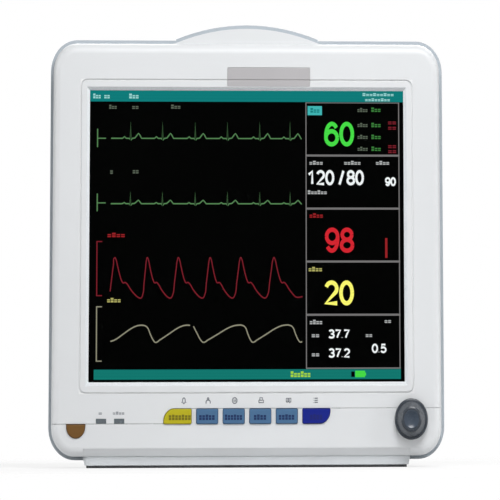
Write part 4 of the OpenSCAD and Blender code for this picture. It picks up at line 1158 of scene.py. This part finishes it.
    def pulse_trace(self, low: float = 52.8, high: float = 78.3) -> Path:
        """Works out the finger pulse: a steep rise, a notch on the way down and a slow run out.

        Args:
            low: Height of the troughs.
            high: Height of the peaks.

        Returns:
            Its points.
        """
        fall = ((0.0, 1.0), (0.04, 0.96), (0.11, 0.78), (0.20, 0.55), (0.27, 0.42), (0.32, 0.375),
                (0.40, 0.385), (0.47, 0.35), (0.60, 0.22), (0.75, 0.10), (0.89, 0.02))
        rise = ((0.0, 0.0), (0.25, 0.06), (0.5, 0.38), (0.72, 0.72), (0.9, 0.96))
        peaks = (20.0, 45.2, 69.4, 94.2, 118.1, 144.0)
        troughs = (40.4, 63.4, 88.4, 111.8, 137.2, 163.6)
        runs = [(peak, trough, fall) for peak, trough in zip(peaks, troughs)]
        runs += [(trough, peak, rise) for trough, peak in zip(troughs, peaks[1:])]
        points = [(start + along * (end - start), low + up * (high - low))
                  for start, end, shape in sorted(runs) for along, up in shape]
        return [(16.4, 57.0), (17.6, 65.0), (19.0, 74.0), *points, (166.3, 53.6)]

    def breath_trace(self) -> tuple[Path, Path]:
        """Works out the breathing curve: slow rises, flat crests, quick falls and a gap at the sweep.

        Returns:
            Its points before and after the gap.
        """
        climb = ((0.12, 26.4), (0.4, 30.4), (0.62, 33.6), (0.78, 35.2), (0.9, 35.7), (1.0, 35.6))
        drop = ((0.3, 34.4), (0.55, 30.2), (0.8, 26.4), (1.0, 24.9))
        turns = (16.9, 42.6, 51.9, 78.6, 89.0, 119.0, 127.4, 156.0, 164.6)
        points: list[Path] = [[(start + along * (end - start), v) for along, v in (drop if i % 2 else climb)]
                              for i, (start, end) in enumerate(zip(turns, turns[1:]))]
        before = [(turns[0], 25.6), *points[0], *points[1], *points[2]]
        after = [(81.3, 35.0), *points[3][1:], *(point for run in points[4:] for point in run), (166.0, 25.2)]
        return before, after

    def traces(self) -> None:
        """The four traces and their height marks."""
        self.trace("heart_trace_one", Glow.TRACE, self.heart_trace(153.95, 164.4, 157.1), False)
        self.trace("heart_trace_two", Glow.TRACE, self.heart_trace(112.4, 119.8, 114.6), False)
        self.trace("pulse_trace", Glow.PULSE, self.pulse_trace(), True)
        for side, run in zip(("left", "right"), self.breath_trace()):
            self.trace("breath_trace_" + side, Glow.BREATH, run, True)
        self.height_mark("heart_mark_one", Glow.TRACE, 148.3, 160.0, 7.0, 153.95)
        self.height_mark("heart_mark_two", Glow.TRACE, 107.6, 118.8, 7.0, 112.9)
        self.height_mark("pulse_mark", Glow.PULSE, 54.0, 88.8, 4.6, 54.35, 88.45)
        self.height_mark("breath_mark", Glow.BREATH, 12.9, 47.7, 4.6, 13.25, 47.35)

    def number(self, name: str, glow: Glow, stroke: float, *numbers: Number) -> None:
        """Sets numbers on the screen.

        Args:
            name: Name of the piece.
            glow: Their colour.
            stroke: Radius of their strokes.
            numbers: The numbers.
        """
        piece = Piece(name)
        for number in numbers:
            box = number.box
            cells = [self.point_wide if sign == "." else 1.0 for sign in number.text]
            unit = (box.right - box.left - 2 * stroke) / (sum(cells) + self.digit_gap * (len(cells) - 1))
            tall = box.high - box.low - 2 * stroke
            start = box.left + stroke
            for sign, cell in zip(number.text, cells):
                for path in DIGITS[sign]:
                    points = [(start + x * cell * unit, box.low + stroke + y * tall) for x, y in path]
                    piece.stroke(self.drawn(points), stroke, self.plane())
                start += (cell + self.digit_gap) * unit
        piece.done(glow, "screen")

    def numbers(self) -> None:
        """The values in their tiles."""
        self.number("heart_value", Glow.GREEN, self.big_stroke, Number("60", Bar(183.6, 207.2, 149.0, 164.9)))
        self.number("pressure_values", Glow.WHITE, self.pressure_stroke,
                    Number("120", Bar(169.9, 191.5, 124.2, 134.0)),
                    Number("/", Bar(194.6, 199.6, 123.8, 134.4)),
                    Number("80", Bar(201.0, 214.8, 124.2, 134.0)))
        self.number("mean_value", Glow.WHITE, self.mean_stroke, Number("90", Bar(231.3, 240.0, 123.7, 129.5)))
        self.number("oxygen_value", Glow.RED, self.big_stroke, Number("98", Bar(183.9, 207.0, 81.3, 97.4)))
        self.number("breath_value", Glow.YELLOW, self.big_stroke, Number("20", Bar(183.2, 206.6, 48.0, 63.9)))
        self.number("warmth_values", Glow.WHITE, self.small_stroke,
                    Number("37.7", Bar(186.4, 203.2, 27.1, 33.0)),
                    Number("37.2", Bar(186.4, 203.4, 15.0, 21.1)),
                    Number("0.5", Bar(220.3, 231.9, 17.9, 23.9)))

    def captions(self) -> None:
        """Dashes for the captions of the traces, tiles and bars."""
        row = Marks.row
        limits = (172.6, 162.8, 155.2, 147.6)
        self.caption("head_marks", Glow.PALE_TEAL, [
            row(2.5, 8.7, 180.9, 3.1, 3), row(11.1, 15.8, 180.9, 3.1, 2), row(30.6, 38.4, 180.9, 3.1, 3),
            row(214.0, 239.0, 182.3, 1.9, 9), row(216.0, 236.0, 179.0, 1.9, 8)])
        self.caption("lead_tile_marks", Glow.TEAL, [row(172.8, 180.4, 172.1, 3.0, 3)])
        self.caption("heart_marks", Glow.DIM_GREY, [
            row(15.0, 21.2, 174.0, 2.6, 3), row(33.0, 38.4, 174.0, 2.6, 2), row(63.4, 71.2, 174.2, 2.6, 3),
            row(16.0, 18.6, 132.9, 3.2, 1), row(33.6, 38.6, 133.1, 3.0, 2), row(209.9, 218.2, 172.4, 2.6, 4),
            *(row(209.9, 218.2, v, 2.6, 4) for v in limits[1:])])
        self.caption("limit_values", Glow.DIM_GREEN, [row(220.8, 228.6, v, 2.8, 3) for v in limits])
        self.caption("pressure_marks", Glow.SOFT_WHITE, [
            row(172.0, 182.9, 138.6, 2.4, 4), row(199.3, 212.6, 138.6, 2.4, 5),
            row(224.3, 235.2, 138.6, 2.4, 4), row(170.6, 186.0, 119.8, 2.4, 6)])
        self.caption("oxygen_marks", Glow.DULL_RED, [row(172.0, 182.9, 105.0, 2.8, 4),
                                                     row(14.2, 28.3, 92.6, 2.8, 4)])
        self.caption("breath_marks", Glow.SOFT_YELLOW, [row(171.2, 182.1, 71.0, 2.8, 4)])
        self.caption("breath_trace_marks", Glow.SOFT_YELLOW, [row(14.2, 25.1, 51.5, 2.8, 4)])
        self.caption("warmth_marks", Glow.SOFT_WHITE, [
            row(172.0, 182.1, 37.6, 2.8, 4), row(230.5, 236.0, 38.2, 2.4, 2), row(173.5, 179.8, 29.3, 2.6, 2),
            row(173.5, 179.8, 17.3, 2.6, 2), row(215.7, 221.2, 29.3, 2.4, 2)])


@dataclass(frozen=True)
class KeyLook:
    """Looks of one key."""

    node: str
    paint: Paint
    mark: Paint
    slot: str
    count: int
    shift: float = 0.0


@dataclass
class KeyRow(Assembly):
    """The six keys and the power key, with marks that move with them."""

    mark_thick: float = 0.1
    mark_tall: float = 3.4
    mark_drop: float = 0.6
    mark_half_pitch: float = 1.25
    mark_short: float = 0.9
    mark_gap: float = 0.05
    margin: float = 2.4
    ease: float = 0.45

    def build(self) -> None:
        """Dresses each key and marks it."""
        looks = [KeyLook("silence_key", Paint.YELLOW, Paint.YELLOW_MARK, "key_yellow", 7, 2.0)]
        looks += [KeyLook(node, Paint.BLUE, Paint.BLUE_MARK, "key_blue", count) for node, count in (
            ("lead_key", 5), ("freeze_key", 6), ("print_key", 4), ("cuff_key", 5))]
        looks += [KeyLook("menu_key", Paint.NAVY, Paint.NAVY_MARK, "key_navy", 4)]
        for look in looks:
            self.dress(look.paint, look.node)
            self.mark(look)
        self.dress(Paint.BROWN, "power_key")
        self.soften(self.ease, *(look.node for look in looks), "power_key")

    def mark(self, look: KeyLook) -> None:
        """Lays a line of plain dashes on a key.

        Args:
            look: The key.
        """
        low, high = corners(look.node)
        mid_x = (low.x + high.x) / 2 + look.shift
        mid_z = (low.z + high.z) / 2 - self.mark_drop
        half = min((high.x - low.x) / 2 - self.margin, look.count * self.mark_half_pitch)
        box = Bar(mid_x - half, mid_x + half, mid_z - self.mark_tall / 2, mid_z + self.mark_tall / 2)
        piece = Piece(look.node + "_marks")
        for bar in Marks(box, look.count, self.mark_short, self.mark_gap).bars():
            piece.bar(bar, low.y, self.mark_thick)
        piece.done(look.mark, look.slot, look.node)


@dataclass
class Knob(Assembly):
    """Press-and-turn knob."""

    def build(self) -> None:
        """Dresses the knob and its encoder."""
        self.dress(Paint.KNOB, "control_knob")
        self.dress(Paint.KNOB_CAP, "knob_cap")
        self.dress(Paint.STEEL, "encoder_shaft", "encoder_nut")
        self.dress(Paint.BLACK, "encoder_body", "encoder_plunger")


# Sides, back and inside


@dataclass
class RearCase(Assembly):
    """Rear housing, base and what fixes them."""

    seal_half: float = 126.4
    seal_low: float = 6.85
    seal_high: float = 7.25
    seal_front: float = -57.65
    seal_back: float = -41.0
    seal_wide: float = 3.0
    rib_ys: tuple[float, ...] = (5.0, 8.0, 11.0)
    rib_wide: float = 1.2
    rib_low: float = 108.0
    rib_high: float = 125.0
    rib_sunk: float = 0.3
    rib_proud: float = 0.6
    rib_ease: float = 0.4
    cell_at: Point = (18.0, 150.0)
    cell_half: float = 6.0

    def build(self) -> None:
        """Dresses the housing, base, feet and screws."""
        self.dress(Paint.HOUSING, "rear_housing", "battery_door")
        self.dress(Paint.BASE, "base_plate")
        self.dress(Paint.RUBBER, "rubber_feet")
        self.dress(Paint.STEEL, "base_screws", "case_screws", "door_pin")
        self.door_ribs()
        self.base_seal()
        self.sign(Sign.CELL, Face.RIGHT, self.cell_at, self.cell_half, "battery_door")

    def base_seal(self) -> None:
        """Pale seal that closes the slit between the lip of the base and the case, on three sides."""
        seal = Piece("base_seal")
        half, inner = self.seal_half, self.seal_half - self.seal_wide
        for left, right, back in ((-inner, inner, self.seal_front + self.seal_wide),
                                  (-half, -inner, self.seal_back), (inner, half, self.seal_back)):
            seal.block((left, self.seal_front, self.seal_low), (right, back, self.seal_high))
        seal.done(Paint.BASE, "base_grey", CASE)

    def door_ribs(self) -> None:
        """Ribs for the thumb beside the dent in the battery door."""
        ribs = Piece("door_ribs")
        for y in self.rib_ys:
            ribs.block((SIDE_X - self.rib_sunk, y, self.rib_low),
                       (SIDE_X + self.rib_proud, y + self.rib_wide, self.rib_high), self.rib_ease)
        ribs.done(Paint.HOUSING, "housing_grey", "battery_door", True)


@dataclass
class SidePanel(Assembly):
    """Sockets on the left side."""

    sign_across: float = 1.0
    sign_half: float = 4.0
    lead_floor: float = -136.5
    lead_ring: float = 5.5
    sensor_floor: float = -137.5
    sensor_ring: float = 4.0
    pin_r: float = 0.62
    pin_long: float = 6.0
    pin_sunk: float = 2.0
    tip_r: float = 0.3
    tip_long: float = 0.7

    def build(self) -> None:
        """Dresses the sockets, puts contacts in them and prints a pictogram beside each."""
        self.dress(Paint.PANEL, "socket_panel")
        self.dress(Paint.GREEN_SOCKET, "lead_socket")
        self.dress(Paint.BLUE_SOCKET, "sensor_socket")
        self.dress(Paint.STEEL, "cuff_socket")
        self.dress(Paint.BLACK, "probe_jacks")
        lead, sensor, cuff = (middle_of(node) for node in ("lead_socket", "sensor_socket", "cuff_socket"))
        self.contacts("lead_contacts", lead, self.lead_floor, self.lead_ring, 8)
        self.contacts("sensor_contacts", sensor, self.sensor_floor, self.sensor_ring, 6)
        low, high = corners("probe_jacks")
        jack_r = (high.y - low.y) / 2
        for sign, z in ((Sign.HEART, lead.z), (Sign.FINGER, sensor.z), (Sign.ARM, cuff.z),
                        (Sign.PROBE_ONE, high.z - jack_r), (Sign.PROBE_TWO, low.z + jack_r)):
            self.sign(sign, Face.LEFT, (self.sign_across, z), self.sign_half)

    def contacts(self, name: str, socket: Spot, floor: float, radius: float, count: int) -> None:
        """Stands contact pins with blunt tips on the floor of a socket.

        Args:
            name: Name of the piece.
            socket: Middle of the socket.
            floor: Where the floor of its bore is, along X.
            radius: Radius of the ring of pins.
            count: How many pins.
        """
        piece = Piece(name)
        pin_x = floor + self.pin_sunk - self.pin_long / 2
        tip_x = pin_x - (self.pin_long + self.tip_long) / 2
        for i in range(count):
            turn = 2 * math.pi * i / count
            y, z = socket.y + radius * math.cos(turn), socket.z + radius * math.sin(turn)
            piece.pin((pin_x, y, z), self.pin_r, self.pin_r, self.pin_long)
            piece.pin((tip_x, y, z), self.tip_r, self.pin_r, self.tip_long)
        piece.done(Paint.GOLD, "brass", smooth=True)


@dataclass
class BackPanel(Assembly):
    """Mains inlet, fuses, earth post and network socket."""

    sign_up: float = 18.5
    sign_half: float = 3.6
    fuse_sign_half: float = 2.6
    blade_spots: tuple[Point, ...] = ((-7.0, -1.0), (0.0, 3.0), (7.0, -1.0))
    blade_half: Point = (1.12, 2.12)
    blade_front: float = 50.6
    blade_back: float = 62.8
    blade_ease: float = 0.5
    wire_line: tuple[Point, ...] = ((52.4, 3.9), (57.6, 1.4), (61.4, 0.2), (62.2, 0.9))
    wire_r: float = 0.22
    wire_pitch: float = 1.02
    wire_count: int = 8
    lamp_spot: Point = (5.4, 5.45)
    lamp_half: Point = (1.4, 0.7)
    lamp_sunk: float = 0.4
    lamp_proud: float = 0.25
    lamp_ease: float = 0.2

    def build(self) -> None:
        """Dresses the fittings, fits their metal and prints a pictogram at each."""
        self.dress(Paint.BLACK, "mains_inlet", "fuse_holders", "speaker")
        self.dress(Paint.STEEL, "inlet_screws", "lan_port")
        self.dress(Paint.BRASS, "earth_post")
        inlet, network = middle_of("mains_inlet"), middle_of("lan_port")
        self.inlet_blades(inlet)
        self.network_contacts(network)
        self.network_lamps(network)
        fittings = {Sign.MAINS: "mains_inlet", Sign.EARTH: "earth_post", Sign.NETWORK: "lan_port"}
        for sign, node in fittings.items():
            spot = middle_of(node)
            self.sign(sign, Face.BACK, (-spot.x, spot.z + self.sign_up), self.sign_half)
        self.sign(Sign.FUSE, Face.BACK, (0.0, inlet.z), self.fuse_sign_half)

    def inlet_blades(self, inlet: Spot) -> None:
        """Metal sleeves on the three blades of the inlet.

        Args:
            inlet: Middle of the inlet.
        """
        blades = Piece("inlet_blades")
        half_x, half_z = self.blade_half
        for across, up in self.blade_spots:
            x, z = inlet.x + across, inlet.z + up
            blades.block((x - half_x, self.blade_front, z - half_z),
                         (x + half_x, self.blade_back, z + half_z), self.blade_ease)
        blades.done(Paint.STEEL, "steel", smooth=True)

    def network_contacts(self, network: Spot) -> None:
        """Sprung wires in the network socket.

        Args:
            network: Middle of the socket.
        """
        wires = Piece("network_contacts")
        line = [(y, network.z + up) for y, up in self.wire_line]
        upright = Matrix(((0, 0, 1, 0), (1, 0, 0, 0), (0, 1, 0, 0), (0, 0, 0, 1)))
        for i in range(self.wire_count):
            x = network.x + (i - (self.wire_count - 1) / 2) * self.wire_pitch
            wires.stroke(line, self.wire_r, Matrix.Translation((x, 0, 0)) @ upright, True)
        wires.done(Paint.GOLD, "brass", smooth=True)

    def network_lamps(self, network: Spot) -> None:
        """A green and an amber lamp above the mouth of the network socket.

        Args:
            network: Middle of the socket.
        """
        half_x, half_z = self.lamp_half
        for name, side, paint in (("link_lamp", 1, Paint.GREEN_LAMP), ("data_lamp", -1, Paint.AMBER_LAMP)):
            x, z = network.x + side * self.lamp_spot[0], network.z + self.lamp_spot[1]
            lamp = Piece(name)
            lamp.block((x - half_x, BACK_Y - self.lamp_sunk, z - half_z),
                       (x + half_x, BACK_Y + self.lamp_proud, z + half_z), self.lamp_ease)
            lamp.done(paint, "lamp_grey", smooth=True)


@dataclass
class Inside(Assembly):
    """Boards, chassis, pump and battery."""

    def build(self) -> None:
        """Dresses what is inside the case."""
        self.dress(Paint.BOARD, "key_board", "alarm_board", "main_board", "lead_board", "power_board")
        self.dress(Paint.STEEL, "chassis", "chassis_screws", "board_screws")
        self.dress(Paint.BRASS, "board_standoffs")
        self.dress(Paint.RIBBON, "display_ribbon", "key_ribbon", "air_hose")
        self.dress(Paint.ALUMINIUM, "cuff_pump")
        self.dress(Paint.BLACK, "cuff_valve", "key_switches", "battery_tray")
        self.dress(Paint.BATTERY, "battery_pack")


# Studio


@dataclass(frozen=True)
class Lamp:
    """A soft lamp: its place and size in metres, and its power."""

    name: str
    place: tuple[float, float, float]
    size: Point
    power: float


@dataclass
class Studio:
    """Floor, light and camera."""

    aim: Point = (2.3, 136.6)
    distance: float = 14.0
    lens: float = 1218.0
    lean_up: float = -0.843
    lean_across: float = -0.35
    light: float = 0.17
    lit_spot: tuple[float, float, float] = (0, 0, 0.13)
    floor_half: float = 1.2
    floor_drop: float = 0.1
    floor_fade: Point = (0.3, 0.75)
    floor_glow: float = 0.75
    lamps: tuple[Lamp, ...] = (
        Lamp("front_light", (0.5, -1.7, 0.6), (0.9, 0.9), 0.9),
        Lamp("upper_light", (0.2, -0.8, 0.9), (0.6, 0.4), 9.9),
        Lamp("left_light", (-1.4, -0.5, 0.35), (0.8, 0.8), 6.2),
        Lamp("right_light", (1.4, -0.5, 0.35), (0.8, 0.8), 5.2),
        Lamp("back_light", (0.2, 1.3, 1.0), (1.2, 0.8), 16.0))

    def build(self) -> None:
        """Sets up the studio."""
        bpy.context.scene.view_settings.view_transform = "Standard"
        self.world()
        self.floor()
        for lamp in self.lamps:
            self.hang(lamp)
        self.camera()

    def world(self) -> None:
        """White to the eye, and plain soft light for the rest."""
        world = bpy.data.worlds.new("studio")
        world.use_nodes = True
        bpy.context.scene.world = world
        sheet = ShaderSheet(world.node_tree)
        path = sheet.node("LightPath")
        camera, glossy, through = (Signal(sheet, path.outputs[f"Is {ray} Ray"])
                                   for ray in ("Camera", "Glossy", "Transmission"))
        soft, white = (sheet.add("Background", {"Color": (1.0, 1.0, 1.0), "Strength": strength})
                       for strength in (self.light, 1.0))
        sheet.out(sheet.mix(camera.either(glossy).either(through), soft, white), "OutputWorld")

    def floor(self) -> None:
        """A pale floor that keeps the shadow and fades into the background."""
        bm = bmesh.new()
        bmesh.ops.create_grid(bm, x_segments=1, y_segments=1, size=self.floor_half,
                              matrix=Matrix.Translation((0, 0, -self.floor_drop * MM)))
        mesh = bpy.data.meshes.new("floor")
        bm.to_mesh(mesh)
        bm.free()
        floor = bpy.data.objects.new("floor", mesh)
        bpy.context.scene.collection.objects.link(floor)
        material = bpy.data.materials.new("floor")
        material.use_nodes = True
        mesh.materials.append(material)
        self.pale(ShaderSheet(material.node_tree))

    def pale(self, sheet: ShaderSheet) -> None:
        """Fills the floor's node tree.

        Args:
            sheet: The node tree to fill.
        """
        seen = sheet.add("LightPath", output="Is Camera Ray")
        mottled = sheet.blend(sheet.noise(40.0), (0.88, 0.88, 0.88), (0.92, 0.92, 0.92))
        plain = sheet.surface({"Base Color": sheet.blend(seen, (0.8, 0.8, 0.8), mottled),
                               "Roughness": 0.9, "Specular IOR Level": 0.0})
        white = sheet.add("Emission", {"Color": (1.0, 1.0, 1.0), "Strength": 1.0})
        lit = sheet.mix(seen * self.floor_glow, plain, white)
        away = sheet.add("VectorMath", {0: sheet.place()}, "Value", operation="LENGTH")
        sheet.out(sheet.mix(away.band(*self.floor_fade), lit, sheet.add("BsdfTransparent")))

    def hang(self, lamp: Lamp) -> None:
        """Hangs a soft lamp that points at the monitor.

        Args:
            lamp: The lamp.
        """
        data = bpy.data.lights.new(lamp.name, "AREA")
        data.shape = "RECTANGLE"
        data.size, data.size_y = lamp.size
        data.energy = lamp.power
        hung = bpy.data.objects.new(lamp.name, data)
        bpy.context.scene.collection.objects.link(hung)
        hung.location = lamp.place
        hung.rotation_euler = (Vector(self.lit_spot) - Vector(lamp.place)).to_track_quat("-Z", "Y").to_euler()

    def camera(self) -> None:
        """A far camera whose film leans as the picture's does: the picture is narrower than the monitor."""
        data = bpy.data.cameras.new("camera")
        data.lens = self.lens
        data.sensor_width = 36.0
        data.clip_end = 100.0
        camera = bpy.data.objects.new("camera", data)
        rig = bpy.data.objects.new("camera_rig", None)
        for item in (camera, rig):
            bpy.context.scene.collection.objects.link(item)
        spot = Vector((self.aim[0] * MM, FRONT_Y * MM - self.distance, self.aim[1] * MM))
        camera.location = spot
        camera.rotation_mode = "QUATERNION"
        camera.rotation_quaternion = Matrix(((1, 0, 0), (0, 0, -1), (0, 1, 0))).to_quaternion()
        lean = Matrix.Identity(4)
        lean[1][0] = self.lean_across
        lean[1][2] = self.lean_up
        camera.parent = rig
        camera.matrix_parent_inverse = Matrix.Translation(spot) @ lean @ Matrix.Translation(-spot)
        bpy.context.scene.camera = camera


def main() -> None:
    """Builds the monitor's looks and the studio."""
    logging.basicConfig(level=logging.INFO, format="%(name)s: %(message)s")
    parts = (FrontShell(), Screen(), KeyRow(), Knob(), RearCase(), SidePanel(), BackPanel(), Inside(),
             Studio())
    for part in parts:
        LOG.info("building %s", type(part).__name__)
        part.build()


if __name__ == "__main__":
    main()
